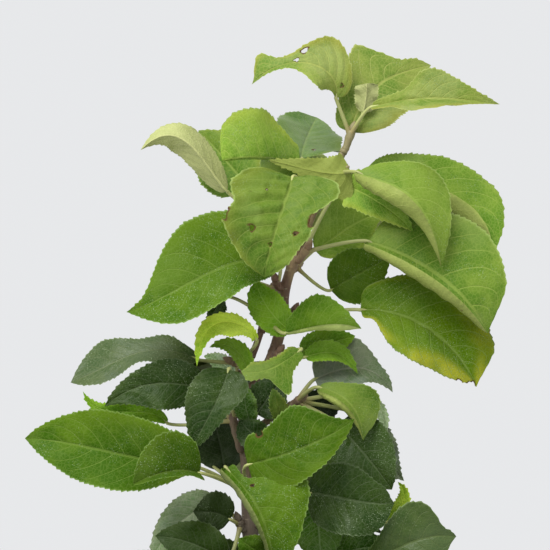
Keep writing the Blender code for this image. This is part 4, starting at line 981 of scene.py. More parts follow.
def add_spur(patchwork, path, chance):
    """A spur: a short stem ringed by the scars of fallen scales, and a bud at its head."""
    line = smooth_path(path, 9)
    length = np.append(-ROOTED * SPUR_STRAIGHT, running_length(line))
    line = np.vstack((inside_limb(path), line))
    radius = np.interp(length / length[-1], SPUR_SHARES, SPUR_RADII)
    radius = radius + SPUR_RING_HEIGHT * np.abs(np.sin(length * 1.55 + chance.uniform(0, 3)))
    angle = angles_round(SPUR_SIDES)
    uneven = 1 + 0.06 * np.sin(3 * angle + length[:, None] * 0.8)
    add_tube(patchwork, line, radius[:, None] * uneven, chance.random())
    share = np.linspace(0, 1, 12)[:, None]
    bud = path[-1] + unit(path[-1] - path[-2]) * (share * BUD_LENGTH - BUD_SUNK)
    swell = BUD_RADIUS * np.sin(math.pi * (0.12 + 0.88 * share ** 0.75)) ** 0.8 + 0.12
    scales = 1 + 0.1 * np.sin(5 * angle + share * 9) * np.sin(math.pi * share)
    add_tube(patchwork, bud, swell * scales, chance.random())


def bark_relief(length, angle, radius, chance):
    """A limb's radius: scale scars in rings, pores wider than high, and slow unevenness."""
    along = length[:, None]
    first = 9 + chance.uniform(0, 9)
    rings = sum(RING_SCAR_HEIGHT * np.exp(-((along - at) / RING_SCAR_WIDTH) ** 2)
                * (1 + 0.5 * np.sin(3 * angle + at))
                for at in np.arange(first, length[-1], RING_SCARS_APART))
    slow = 0.035 * radius * (np.sin(2 * angle + along * 0.045) + np.sin(along * 0.11 + angle))
    rough = 0.05 * np.sin(along * 1.9 + 4 * angle) * np.sin(along * 0.67 - 5 * angle)
    pores = bark_pores(along, angle, chance, int(length[-1] / PORES_APART))
    return radius + rings + slow + rough + pores


def add_limb(patchwork, path, per_span, around, joints, chance):
    """A trunk or bough: its tapering tube with the bark's relief, swollen at its joints."""
    line = smooth_path(path, per_span)
    centre, radius = line[:, :3], line[:, 3:]
    angle = angles_round(around)
    shape = bark_relief(running_length(centre), angle, radius, chance)
    side, up = frames_along(centre)
    for place, swelling in joints:
        outward = place - centre
        near = np.exp(-(np.linalg.norm(outward, axis=1, keepdims=True) / JOINT_REACH) ** 2)
        facing = (np.cos(angle) * (unit(outward) * side).sum(1, keepdims=True)
                  + np.sin(angle) * (unit(outward) * up).sum(1, keepdims=True))
        shape = shape + swelling * near * np.clip(facing, 0, 1) ** 1.5
    add_tube(patchwork, centre, shape, chance.random())


def limb_joints():
    """For each limb, where boughs and spurs leave it and how far its bark swells there."""
    joints = {name: [] for name in LIMBS}
    for name, path in LIMBS.items():
        if name != "trunk":
            joints["trunk"].append((path[0, :3], BOUGH_SWELLING))
    for mass, path, _ in GROWN:
        joints[mass.limb].append((path[0], SPUR_SWELLING))
    return joints


def pot_radius(height):
    """The pot's outer radius at a height, below its rim."""
    return POT_FOOT_RADIUS + (POT_TOP_RADIUS - POT_FOOT_RADIUS) * height / POT_HEIGHT


def rounded(corners, radius, steps):
    """A profile with each inner corner replaced by a curve that starts radius before it."""
    corners = np.array(corners, float)
    points = [corners[0]]
    share = np.linspace(0, 1, steps)[:, None]
    for before, corner, after in zip(corners, corners[1:], corners[2:]):
        reach = [min(radius, np.linalg.norm(end - corner) * 0.45) for end in (before, after)]
        start = corner + unit(before - corner) * reach[0]
        end = corner + unit(after - corner) * reach[1]
        points.extend((1 - share) ** 2 * start + 2 * share * (1 - share) * corner
                      + share ** 2 * end)
    return np.vstack((*points, corners[-1]))


def finer(profile, longest):
    """The profile with its long stretches cut so that no piece is longer than given."""
    points = [profile[:1]]
    for start, end in zip(profile, profile[1:]):
        cuts = max(1, math.ceil(np.linalg.norm(end - start) / longest))
        share = np.arange(1, cuts + 1)[:, None] / cuts
        points.append(start + (end - start) * share)
    return np.vstack(points)


def add_turned(patchwork, profile, around, uneven=None):
    """A turned shape: a profile of radius and height, pole to pole, carried round +Z.

    uneven gives, from radius, height and angle, how much is added to radius and height.
    """
    angle = angles_round(around)
    radius, height = profile[1:-1, :1], profile[1:-1, 1:]
    if uneven:
        more, higher = uneven(radius, height, angle)
        radius, height = radius + more, height + higher
    places = np.stack((radius * np.cos(angle), radius * np.sin(angle),
                       np.broadcast_to(height, (len(radius), around))), -1)
    poles = np.array([(0, 0, profile[0, 1]), (0, 0, profile[-1, 1])])
    patchwork.add_rings(places, np.linspace(0, 1, len(radius)), angle, poles, (0, 0, 0))


def pot_profile():
    """The pot from the middle of its underside, over the rim, to that of its inside floor."""
    rim = pot_radius(POT_HEIGHT) + RIM_OVERHANG
    under_rim = POT_HEIGHT - RIM_HEIGHT
    below, above = POT_STEP
    corners = (
        (0, 0),
        (POT_FOOT_RADIUS - POT_FOOT_BEVEL, 0),
        (pot_radius(3), 3),
        (pot_radius(below) - POT_STEP_DEPTH, below),
        (pot_radius(above), above),
        (pot_radius(under_rim), under_rim),
        (rim - RIM_TAPER, under_rim),
        (rim, POT_HEIGHT),
        (pot_radius(POT_HEIGHT) - POT_WALL, POT_HEIGHT),
        (pot_radius(POT_WALL) - POT_WALL, POT_WALL),
        (0, POT_WALL),
    )
    return finer(rounded(corners, POT_ROUNDING, 5), 5.0)


def add_soil(patchwork, chance):
    """The soil: a lumpy top that sinks a little to the pot's wall, on a closed plain body."""
    inset = POT_WALL + GAP + 0.2
    foot = POT_WALL + GAP
    top = pot_radius(SOIL_LEVEL) - inset
    radii = np.linspace(0, top, SOIL_RINGS)
    surface = np.column_stack((radii, np.full(SOIL_RINGS, SOIL_LEVEL - SOIL_SUNK)))
    body = ((pot_radius(60) - inset, 60), (pot_radius(foot) - inset, foot), (0, foot))
    profile = np.vstack((surface, body))[::-1]
    waves = [(chance.uniform(-1, 1) * pitch, chance.uniform(-1, 1) * pitch,
              chance.uniform(0, 6.3), 0.144 / pitch ** 0.9)
             for pitch in SOIL_WAVES for _ in range(4)]

    def lumps(radius, height, angle):
        """Heights summed from waves in many directions, none at the wall."""
        x, y = radius * np.cos(angle), radius * np.sin(angle)
        rise = sum(size * np.sin(x * across + y * away + start)
                   for across, away, start, size in waves)
        fade = np.clip((top - radius) / 6, 0, 1) * (height > SOIL_LEVEL - 5)
        return np.zeros_like(x), np.clip(rise, *SOIL_LUMPS) * fade

    add_turned(patchwork, profile, SOIL_SIDES, lumps)


def add_crumbs(patchwork, chance, count, spread):
    """Crumbs of soil and bark chips: small lumps half sunk in the soil's top."""
    share = np.linspace(0, 1, CRUMB_RINGS)[:, None]
    angle = angles_round(CRUMB_SIDES)
    for _ in range(count):
        away, turn = spread * math.sqrt(chance.uniform(0.02, 1)), chance.uniform(0, 6.3)
        small = chance.random() < SMALL_SHARE
        size = chance.uniform(*(SMALL_CRUMBS if small else LARGE_CRUMBS))
        height = SOIL_LEVEL - SOIL_SUNK + 0.2
        middle = np.array((away * math.cos(turn), away * math.sin(turn), height))
        tilt = np.array([chance.uniform(-reach, reach) for reach in (1, 1, 0.5)])
        line = middle + unit(tilt) * (share - 0.5) * size * 1.7
        swell = size * (0.2 + 0.48 * np.sin(math.pi * share))
        shape = 1 + 0.25 * np.sin(2 * angle + turn) + 0.15 * np.sin(3 * angle + share * 5)
        add_tube(patchwork, line, swell * shape, chance.random())


class Value:
    """A number's socket in a material. Arithmetic on it adds the Math nodes."""

    def __init__(self, finish, socket):
        self.finish, self.socket = finish, socket

    def math(self, operation, *others):
        """A Math node of the given operation on this value and the others."""
        values = dict(enumerate((self, *others)))
        return self.finish.node("Math", values, operation=operation)

    def __add__(self, other):
        return self.math("ADD", other)

    def __sub__(self, other):
        return self.math("SUBTRACT", other)

    def __rsub__(self, other):
        return self.finish.node("Math", {0: other, 1: self}, operation="SUBTRACT")

    def __mul__(self, other):
        return self.math("MULTIPLY", other)

    __radd__ = __add__
    __rmul__ = __mul__


class Finish:
    """A material in the making: each method adds nodes and gives back what comes out."""

    def __init__(self, name):
        self.material = bpy.data.materials.new(name)
        self.material.use_nodes = True
        self.tree = self.material.node_tree
        self.tree.nodes.clear()

    def node(self, kind, values, output=0, **settings):
        """Add a node: its settings first, then the values or links of its sockets."""
        made = self.tree.nodes.new("ShaderNode" + kind)
        for name, setting in settings.items():
            setattr(made, name, setting)
        for name, value in values.items():
            if isinstance(value, Value):
                self.tree.links.new(value.socket, made.inputs[name])
            else:
                made.inputs[name].default_value = value
        return Value(self, made.outputs[output])

    def part(self, where, axis):
        """One of the three numbers of a place or colour, by its letter."""
        return self.node("SeparateXYZ", {0: where}, axis)

    def space(self, *scale):
        """Places in the object's own space, stretched along its axes where told."""
        where = self.node("TexCoord", {}, "Object")
        if scale:
            where = self.node("Mapping", {"Vector": where, "Scale": scale}, "Vector")
        return where

    def noise(self, scale, detail=2.0, roughness=0.5, where=None):
        """Noise between about 0.2 and 0.8, in the object's own space unless told where."""
        return self.node("TexNoise", {"Vector": where or self.space(), "Scale": scale,
                                      "Detail": detail, "Roughness": roughness}, "Fac")

    def cells(self, scale, where=None, **settings):
        """How far a place is from the middle of its cell, or as the settings say."""
        values = {"Vector": where or self.space(), "Scale": scale}
        return self.node("TexVoronoi", values, "Distance", **settings)

    def ramp(self, value, low, high):
        """0 below low, 1 above high and a smooth curve between."""
        values = {"Value": value, "From Min": low, "From Max": high}
        return self.node("MapRange", values, "Result", interpolation_type="SMOOTHSTEP")

    def blend(self, share, first, second):
        """A colour between two: the first at share 0 and the second at share 1."""
        colours = [value if isinstance(value, Value) else (*value, 1.0)
                   for value in (first, second)]
        return self.node("Mix", {0: share, 6: colours[0], 7: colours[1]}, 2, data_type="RGBA")

    def brighten(self, colour, share):
        """A colour times a number, which may be a link."""
        return self.node("VectorMath", {0: colour, "Scale": share}, "Vector", operation="SCALE")

    def mark(self, name):
        """A number stored on the mesh for each point."""
        return self.node("Attribute", {}, "Fac", attribute_name=name)

    def map_places(self):
        """The part's own map: how far along it and how far across."""
        where = self.node("TexCoord", {}, "UV")
        return self.part(where, "X"), self.part(where, "Y")

    def finished(self, colour, roughness, bump, strength, distance, gloss=0.5):
        """Close the material with its shader, and a bump whose full height is distance mm."""
        bumped = self.node("Bump", {"Height": bump, "Strength": strength,
                                    "Distance": distance * MM}, "Normal")
        shader = self.node("BsdfPrincipled", {
            "Base Color": colour, "Roughness": roughness, "Normal": bumped,
            "Specular IOR Level": gloss}, "BSDF")
        out = self.tree.nodes.new("ShaderNodeOutputMaterial")
        self.tree.links.new(shader.socket, out.inputs["Surface"])
        return self.material


Look = namedtuple("Look", "under margin roughness gloss veins specks spread",
                  defaults=(0.0, 0.0))

# Each kind of leaf beside its main green: its underside, what its margin turns to, how
# rough and how glossy it is, how much paler than the green its veins are, how many pale
# specks it has, and how far the margin's colour spreads at the tip
LOOKS = {
    "young": Look((0.22, 0.27, 0.048), (0.24, 0.24, 0.03), 0.5, 0.12, 0.018),
    "mid": Look((0.24, 0.29, 0.065), (0.2, 0.25, 0.03), 0.48, 0.1, 0.018),
    "bright": Look((0.22, 0.27, 0.075), (0.11, 0.2, 0.008), 0.46, 0.05, 0.03),
    "lime": Look((0.28, 0.35, 0.1), (0.34, 0.43, 0.04), 0.48, 0.1, 0.02),
    "pale": Look((0.37, 0.4, 0.155), (0.32, 0.34, 0.1), 0.5, 0.12, 0.018),
    "grey": Look((0.17, 0.22, 0.09), (0.07, 0.12, 0.03), 0.42, 0.3, 0.03, specks=0.1),
    # This kind's grey-blue green is painted sheen: it stands in for the pale reflection of the sky
    # on these leaves
    "bloom": Look((0.17, 0.22, 0.09), (0.13, 0.17, 0.08), 0.5, 0.2, 0.03),
    "sheen": Look((0.22, 0.28, 0.1), (0.14, 0.2, 0.04), 0.36, 0.25, 0.02),
    "dark": Look((0.15, 0.2, 0.07), (0.04, 0.07, 0.01), 0.42, 0.19, 0.045),
    "shade": Look((0.1, 0.14, 0.045), (0.025, 0.045, 0.008), 0.44, 0.16, 0.03),
    "yellowing": Look((0.24, 0.29, 0.09), (0.2, 0.205, 0.013), 0.48, 0.05, 0.03, spread=0.7),
}

# What a kind's green is multiplied by in its darker patches and in its pale bluish patches
# of painted sheen, which stand in for the sky mirrored on the blade, its veins and rim,
# and its underside's colour in patches and veins
DARKER, PAINTED_SHEEN, VEINS, RIM = (0.52, 0.7, 0.45), (1.2, 1.12, 1.9), (1.5, 1.3, 1.6), (1.5, 1.35, 1.6)
UNDER_DARKER, UNDER_VEINS = (0.84, 0.86, 0.8), (1.25, 1.2, 1.3)

# Colours that come in patches, beside those that the user may change
SCAR = (0.09, 0.05, 0.02)
SPECK = (0.32, 0.4, 0.24)
YOUNG_BARK_PATCH = (0.16, 0.085, 0.05)
OLD_BARK_PATCH = (0.15, 0.125, 0.095)
BARK_PORE = (0.33, 0.27, 0.18)
PETIOLE_STREAK = (0.3, 0.3, 0.12)
PETIOLE_FLUSH = (0.2, 0.11, 0.06)
PETIOLE_END = (0.14, 0.2, 0.035)
DUST = (0.13, 0.115, 0.095)
SCUFF = (0.16, 0.16, 0.16)
SOIL_FIBRE = (0.095, 0.06, 0.038)
DRY_SOIL = (0.13, 0.09, 0.06)
FLOOR_PATCH = (0.7, 0.7, 0.7)


def vein_marks(finish):
    """Where the veins are, 0 to 1, how far along a place is, and how far to the right."""
    along, across = finish.map_places()
    sideways = across * 2 - 1
    distance = sideways.math("ABSOLUTE")
    right = sideways.math("GREATER_THAN", 0.0) * 0.5
    wobble = finish.noise(70) * 0.3 - 0.15
    forward = distance * VEIN_FORWARD[0] + distance * distance * VEIN_FORWARD[1]
    count = (along - forward) * LATERAL_VEINS + right + wobble * distance + 0.5
    nearest = (count.math("FRACT") - 0.5).math("ABSOLUTE")
    fade = 1 - finish.ramp(distance, 0.75, 1.0)
    lateral = (1 - finish.ramp(nearest, 0.01, 0.055)) * fade
    midrib = 1 - finish.ramp(distance, 0.02, 0.055)
    return lateral.math("MAXIMUM", midrib), along, sideways


def net_marks(finish):
    """The fine net between the veins, 0 to 1, from the edges of small cells."""
    return 1 - finish.ramp(finish.cells(430.0, feature="DISTANCE_TO_EDGE"), 0.02, 0.14)


def scar_marks(finish):
    """The brown rims of holes, 0 to 1."""
    return finish.ramp(finish.mark("scar") + finish.noise(400) * 0.4, 0.45, 0.95)


def speck_marks(finish, scale, size, amount):
    """Specks of every size up to the given one, 0 to 1, in patches that grow with amount."""
    cells = finish.cells(scale)
    own = Value(finish, cells.socket.node.outputs["Color"])
    reach = finish.part(own, "X") * size + 0.02
    patches = finish.ramp(finish.noise(55, 3) + amount * 0.3, 0.5, 0.7)
    return (1 - finish.ramp(cells, reach * 0.5, reach)) * patches


def tinted(colour, factors, more=0.0):
    """A colour with each of its parts multiplied, and a little white added."""
    return tuple(part * factor + more for part, factor in zip(colour, factors))


def upper_finish(tone, main, look):
    """A leaf's upper side: greens in soft patches, pale bluish patches of painted sheen,
    paler veins and net, a lightness from the light mark that is partly painted light and
    shade, then specks and scars.
    """
    finish = Finish(f"{tone}_leaf_upper")
    veins, along, sideways = vein_marks(finish)
    distance = sideways.math("ABSOLUTE")
    net = net_marks(finish)
    patches = finish.ramp(finish.noise(34, 4, 0.6), 0.38, 0.62)
    colour = finish.blend(patches, main, tinted(main, DARKER))
    # Pale bluish patches at random: painted sheen, a reflection of the sky put into the colour
    painted_sheen = finish.ramp(finish.noise(24, 3), 0.5, 0.66) * 0.6
    colour = finish.blend(painted_sheen, colour, tinted(main, PAINTED_SHEEN, 0.006))
    one_side = sideways.math("GREATER_THAN", 0.0) * 0.25 + 0.75
    reach = distance * one_side + along * along * look.spread
    edge = finish.ramp(reach, 0.6, 1.05) * finish.ramp(finish.noise(30), 0.25, 0.55)
    colour = finish.blend(edge * 0.85, colour, look.margin)
    vein = tinted(main, VEINS, look.veins)
    colour = finish.blend(net * 0.28, colour, vein)
    colour = finish.blend(veins * 0.6, colour, vein)
    # The light mark lightens or darkens each leaf: partly its own tone, partly painted light and
    # shade
    colour = finish.brighten(colour, finish.mark("light"))
    rim = finish.ramp(distance, 0.955, 0.995) * 0.7
    colour = finish.blend(rim, colour, tinted(main, RIM, 0.06))
    specks = speck_marks(finish, 1100, 0.4, finish.mark("specks") + look.specks)
    colour = finish.blend(specks * 0.55, colour, SPECK)
    scar = scar_marks(finish)
    colour = finish.blend(scar, colour, SCAR)
    roughness = finish.noise(120, 3) * 0.16 + (look.roughness - 0.08) + scar * 0.3
    uneven = finish.noise(900) * 0.25 + finish.noise(190, 3) * 1.3
    height = (1 - veins) * 0.7 + (1 - net) * 0.3 + uneven
    return finish.finished(colour, roughness, height, 0.6, 0.4, look.gloss)


def under_finish(tone, look):
    """A leaf's underside: pale and downy, with raised veins."""
    finish = Finish(f"{tone}_leaf_under")
    veins, *_ = vein_marks(finish)
    net = net_marks(finish)
    patches = finish.ramp(finish.noise(45, 4, 0.6), 0.36, 0.64)
    colour = finish.blend(patches, look.under, tinted(look.under, UNDER_DARKER))
    vein = tinted(look.under, UNDER_VEINS)
    colour = finish.blend(net * 0.3, colour, vein)
    colour = finish.blend(veins * 0.75, colour, vein)
    # The light mark lightens or darkens each underside: partly its own tone, partly painted light
    # and shade
    colour = finish.brighten(colour, finish.mark("light"))
    colour = finish.blend(speck_marks(finish, 190, 0.2, 0.2) * 0.7, colour, SCAR)
    colour = finish.blend(scar_marks(finish), colour, SCAR)
    height = veins * 0.7 + net * 0.35 + finish.noise(1500) * 0.3
    return finish.finished(colour, 0.62, height, 0.6, 0.4, 0.25)


def bark_finish(colours):
    """Bark: grey-brown low down, where it is darker partly as painted shade, smooth
    red-brown above, with pale pores.
    """
    finish = Finish("young_bark")
    height = finish.part(finish.space(), "Z")
    streaks = finish.noise(900, 3, 0.6, finish.space(1, 1, 0.12))
    patches = finish.ramp(finish.noise(60, 4, 0.6), 0.38, 0.62)
    young = finish.blend(patches, colours.bark_young, YOUNG_BARK_PATCH)
    old = finish.blend(patches, colours.bark_old, OLD_BARK_PATCH)
    # Old bark below and young above; the change is set so high that the trunk is dark where it
    # stands in the crown's shadow, so this darkness is partly painted shade
    old_and_shaded = finish.ramp(height + finish.noise(20) * 0.1, 0.62, 0.86)
    colour = finish.blend(old_and_shaded, old, young)
    shoot = finish.ramp(height + finish.noise(30) * 0.02, 0.835, 0.875)
    colour = finish.blend(shoot, colour, colours.bark_shoot)
    colour = finish.brighten(colour, streaks * 0.7 + 0.62)
    pores = 1 - finish.ramp(finish.cells(150.0, finish.space(1, 1, 2.6)), 0.1, 0.2)
    colour = finish.blend(pores * 0.75, colour, BARK_PORE)
    relief = pores * 0.8 + streaks * 0.6 + finish.noise(700, 3) * 0.4
    roughness = finish.noise(90) * 0.2 + 0.5
    return finish.finished(colour, roughness, relief, 0.7, 0.4)


def petiole_finish(colours):
    """A petiole: pale olive, red near the spur, green near the blade, finely streaked."""
    finish = Finish("leaf_stalk")
    along, _ = finish.map_places()
    flush = 1 - finish.ramp(along + finish.noise(60) * 0.1, 0.05, 0.17)
    streaks = finish.noise(300, 3, 0.6)
    colour = finish.blend(streaks, colours.petiole, PETIOLE_STREAK)
    colour = finish.blend(flush * 0.6, colour, PETIOLE_FLUSH)
    colour = finish.blend(finish.ramp(along, 0.7, 0.95) * 0.7, colour, PETIOLE_END)
    colour = finish.brighten(colour, finish.mark("light") * 0.35 + 1.15)
    return finish.finished(colour, 0.48, streaks, 0.4, 0.25)


def pot_finish(colours):
    """Moulded plastic: matt charcoal with a fine grain and dusty scuffs."""
    finish = Finish("pot_plastic_charcoal")
    grain = finish.noise(1400)
    rubbed = finish.ramp(finish.noise(30, 5, 0.7, finish.space(1, 1, 6)), 0.56, 0.74)
    dust = finish.ramp(finish.noise(12, 6, 0.7), 0.5, 0.78)
    colour = finish.blend(dust * 0.35, colours.pot, DUST)
    colour = finish.blend(rubbed * 0.3, colour, SCUFF)
    roughness = dust * 0.18 + rubbed * 0.1 + grain * 0.1 + 0.4
    return finish.finished(colour, roughness, grain + rubbed * 0.3, 0.35, 0.2)


def soil_finish(colours):
    """Potting soil: dark and moist, with lighter fibres and crumbs."""
    finish = Finish("potting_soil_moist")
    lumps = finish.noise(160, 6, 0.7)
    dry = finish.ramp(finish.noise(40, 4), 0.45, 0.7)
    colour = finish.blend(finish.ramp(lumps, 0.35, 0.7), colours.soil, SOIL_FIBRE)
    colour = finish.blend(dry * 0.5, colour, DRY_SOIL)
    colour = finish.brighten(colour, finish.mark("light") * 1.1 + 0.6)
    return finish.finished(colour, 0.92, lumps + finish.noise(700, 3) * 0.4, 0.9, 1.2)


def floor_finish(colours):
    """The floor: plain, pale and matt, with the faintest unevenness."""
    finish = Finish("studio_floor")
    share = finish.noise(3, 3)
    colour = finish.blend(share * 0.1, colours.floor, FLOOR_PATCH)
    return finish.finished(colour, 0.7, share, 0.05, 1.0)


def colour_setting(name, description, default):
    """A colour that the user may change."""
    return FloatVectorProperty(name=name, description=description, default=default,
                               subtype="COLOR", size=3, min=0.0, max=1.0)


def length_setting(name, description, default):
    """A length that the user may change, in metres."""
    return FloatProperty(name=name, description=description, default=default,
                         unit="LENGTH", min=0.0, precision=5)


class LeafColours(bpy.types.PropertyGroup):
    """The main green of each kind of leaf."""

    young: colour_setting("Young", "Leaves at the tip of the trunk", (0.2, 0.26, 0.045))
    mid: colour_setting("Middle", "Grown leaves of a fresh green", (0.145, 0.23, 0.026))
    bright: colour_setting("Bright", "Full, glossy leaves", (0.085, 0.165, 0.007))
    # The lime green is lighter than the leaves' own: painted light, standing in for light that
    # shines through these thin leaves
    lime: colour_setting("Lime", "Small light leaves low down", (0.3, 0.42, 0.03))
    pale: colour_setting("Pale", "Leaves that show their underside", (0.145, 0.23, 0.03))
    grey: colour_setting("Grey", "Old leaves with a dull shine", (0.08, 0.125, 0.03))
    # This kind's grey-blue green is painted sheen: it stands in for the pale reflection of the sky
    # on these leaves
    bloom: colour_setting("Bloom", "Old leaves with a blue bloom", (0.16, 0.2, 0.11))
    sheen: colour_setting("Sheen", "Leaves that mirror the sky", (0.1, 0.17, 0.03))
    dark: colour_setting("Dark", "Old leaves inside the crown", (0.026, 0.057, 0.003))
    # The shade green is darker than the leaves' own: painted shade for leaves that lie in the
    # crown's shadow
    shade: colour_setting("Shade", "Leaves deep in the crown", (0.013, 0.028, 0.003))
    yellowing: colour_setting("Yellowing", "Leaves turning at the edge", (0.05, 0.095, 0.001))


class TreeColours(bpy.types.PropertyGroup):
    """The colours of everything but the leaves."""

    bark_young: colour_setting("Young bark", "The trunk and boughs high up", (0.27, 0.19, 0.09))
    bark_shoot: colour_setting("Shoot bark", "The tip of the trunk", (0.23, 0.2, 0.09))
    bark_old: colour_setting("Old bark", "The trunk low down", (0.1, 0.082, 0.062))
    petiole: colour_setting("Leaf stalks", "The stalks of the leaves", (0.24, 0.28, 0.08))
    pot: colour_setting("Pot", "The pot's plastic", (0.028, 0.03, 0.033))
    soil: colour_setting("Soil", "The soil where it is moist", (0.035, 0.023, 0.016))
    floor: colour_setting("Floor", "The studio's floor", (0.8, 0.8, 0.8))


class TreeSizes(bpy.types.PropertyGroup):
    """The sizes of the detail that the solids leave out."""

    tooth_height: length_setting("Teeth", "How far the margin's teeth stand out", 0.0012)
    vein_relief: length_setting("Quilting", "How far a blade rises between veins", 0.00055)
    blade_thickness: length_setting("Blade", "The thickness of a blade", 0.00032)
    rib_height: length_setting("Rib", "How far the midrib stands out below", 0.0008)
    groove_depth: length_setting("Groove", "How deep the midrib lies above", 0.00045)
    crumbs: IntProperty(name="Crumbs", description="Loose crumbs on the soil",
                        default=520, min=0, max=2000)
    light: FloatProperty(name="Light", description="Strength of the soft light overhead",
                         default=46.0, min=0.0, unit="POWER")


PLACED_MASSES = [mass.name for mass in MASSES]
BEHIND_MASSES = [name for name, *_ in BEHIND]
LOWER_MASSES = [f"lower_leaves_{index + 1}" for index in range(LOWER_ROSETTES)]
LEAF_PIECES = (
    ("crown_leaves_top", PLACED_MASSES[:7]),
    ("crown_leaves_middle", PLACED_MASSES[7:14]),
    ("crown_leaves_bottom", PLACED_MASSES[14:]),
    ("back_leaves", BEHIND_MASSES),
    ("low_leaves_inner", LOWER_MASSES[:6]),
    ("low_leaves_outer", LOWER_MASSES[6:]),
)

# The kinds of the leaves that grow by the rule: from a height on, how likely each is.
# Lower down the darker kinds are likelier, partly for the leaves' own age and partly as
# painted shade under the crown.
GROWN_KINDS = (
    (780, {"young": 2, "mid": 5, "bright": 4}),
    (600, {"mid": 3, "bright": 5, "dark": 2, "sheen": 1}),
    (0, {"mid": 2, "bright": 4, "dark": 3, "grey": 1}),
)


def deal_kind(spec, chance):
    """The kind of a grown leaf, dealt out by its height."""
    height = spec["midrib"][0][2]
    kinds = next(kinds for lowest, kinds in GROWN_KINDS if height >= lowest)
    return chance.choices(list(kinds), list(kinds.values()))[0]


class APPLETREE_OT_leaves(bpy.types.Operator):
    """Make all leaf blades, in pieces that each stand for several masses."""

    bl_idname = "appletree.leaves"
    bl_label = "Leaves"

    def execute(self, context):
        sizes, colours = context.scene.tree_sizes, context.scene.leaf_colours
        finishes = {}
        for kind, look in LOOKS.items():
            upper = upper_finish(kind, getattr(colours, kind), look)
            finishes[kind] = (upper, under_finish(kind, look))
        order = list(LOOKS)
        for name, masses in LEAF_PIECES:
            patchwork = Patchwork()
            for mass, _, leaves in GROWN:
                if mass.name not in masses:
                    continue
                chance = random.Random(f"blades of {mass.name}")
                for number, spec in enumerate(leaves):
                    placed = number < len(mass.leaves)
                    kind = spec["tone"] if placed else deal_kind(spec, chance)
                    columns = SHOWN_COLUMNS if placed else GROWN_COLUMNS
                    add_leaf(patchwork, spec, columns, 2 * order.index(kind), sizes, chance)
            materials = [made for kind in order for made in finishes[kind]]
            hand_in(patchwork.build(name, materials), "leaves", *masses)
        return {"FINISHED"}


class APPLETREE_OT_petioles(bpy.types.Operator):
    """Make the stalks between the spurs and the blades."""

    bl_idname = "appletree.petioles"
    bl_label = "Leaf stalks"

    def execute(self, context):
        patchwork = Patchwork()
        chance = random.Random("petioles")
        for _, path, leaves in GROWN:
            for spec in leaves:
                add_petiole(patchwork, spur_root(path), spec, chance)
        finish = petiole_finish(context.scene.tree_colours)
        hand_in(patchwork.build("petioles", [finish]), "leaves")
        return {"FINISHED"}


class APPLETREE_OT_spurs(bpy.types.Operator):
    """Make the short stems that carry the leaves, each with a bud."""

    bl_idname = "appletree.spurs"
    bl_label = "Spurs and buds"

    def execute(self, context):
        patchwork = Patchwork()
        chance = random.Random("spurs")
        for _, path, _ in GROWN:
            add_spur(patchwork, path, chance)
        finish = bark_finish(context.scene.tree_colours)
        hand_in(patchwork.build("spurs", [finish]), "bark")
        return {"FINISHED"}


class APPLETREE_OT_limbs(bpy.types.Operator):
    """Make the trunk and the boughs with the relief of their bark."""

    bl_idname = "appletree.limbs"
    bl_label = "Trunk and boughs"

    def execute(self, context):
        patchwork = Patchwork()
        chance = random.Random("bark")
        joints = limb_joints()
        for name, path in LIMBS.items():
            rings, sides = TRUNK_RINGS, TRUNK_SIDES
            if name != "trunk":
                rings, sides = BOUGH_RINGS, BOUGH_SIDES
                path = np.vstack((inside_limb(path), path))
            add_limb(patchwork, path, rings, sides, joints[name], chance)
        finish = bark_finish(context.scene.tree_colours)
        hand_in(patchwork.build("trunk_and_boughs", [finish]), "bark", *LIMBS)
        return {"FINISHED"}


class APPLETREE_OT_pot(bpy.types.Operator):
    """Make the pot."""

    bl_idname = "appletree.pot"
    bl_label = "Pot"

    def execute(self, context):
        patchwork = Patchwork()

        def uneven(radius, height, angle):
            """The wall's slight unevenness from moulding, under the rim only."""
            fade = np.clip(height / 20, 0, 1) * np.clip((POT_HEIGHT - height) / 20, 0, 1)
            wobble = 0.12 * np.sin(2 * angle + 0.4) + 0.07 * np.sin(5 * angle + height * 0.02)
            return wobble * fade * (radius > POT_PLAIN_FLOOR), np.zeros_like(radius)

        add_turned(patchwork, pot_profile(), POT_SIDES, uneven)
        finish = pot_finish(context.scene.tree_colours)
        hand_in(patchwork.build("plain_pot", [finish]), "pot_plastic", "pot")
        return {"FINISHED"}


class APPLETREE_OT_soil(bpy.types.Operator):
    """Make the soil and the crumbs on it."""

    bl_idname = "appletree.soil"
    bl_label = "Soil"

    def execute(self, context):
        patchwork = Patchwork()
        chance = random.Random("soil")
        add_soil(patchwork, chance)
        spread = pot_radius(SOIL_LEVEL) - 8
        add_crumbs(patchwork, chance, context.scene.tree_sizes.crumbs, spread)
        finish = soil_finish(context.scene.tree_colours)
        hand_in(patchwork.build("soil_and_crumbs", [finish]), "potting_soil", "soil")
        return {"FINISHED"}


# The photograph's view: a level camera 1.6 m away that sees 341 mm across at the trunk
VIEWER = (0.0124, -1.6, 0.8025)
VIEW_WIDTH = 0.341
FILM = 36.0
FARTHEST_SEEN = 50.0

# The floor in millimetres, the world's colour, and one soft light, in metres
FLOOR_RADIUS = 2700.0
FLOOR_THICKNESS = 12.0
FLOOR_SIDES = 96
BACKDROP = (0.8, 0.81, 0.825)
SOFTBOX = (-0.6, -1.15, 2.2)
SOFTBOX_SIZE = 1.3
SOFTBOX_COLOUR = (1.0, 0.99, 0.97)
CROWN = (0.0, 0.0, 0.75)


def aim(place, target):
    """The turn that points a light at a target."""
    from_target = np.array(place) - np.array(target)
    level = math.hypot(from_target[0], from_target[1])
    return math.atan2(level, from_target[2]), 0.0, math.atan2(from_target[0], -from_target[1])


def add_softbox(power):
    """The soft light: a square over the viewer's left shoulder."""
    light = bpy.data.lights.new("softbox", "AREA")
    light.size, light.energy, light.color = SOFTBOX_SIZE, power, SOFTBOX_COLOUR
    lamp = bpy.data.objects.new("softbox", light)
    lamp.location = SOFTBOX
    lamp.rotation_euler = aim(SOFTBOX, CROWN)
    bpy.context.scene.collection.objects.link(lamp)


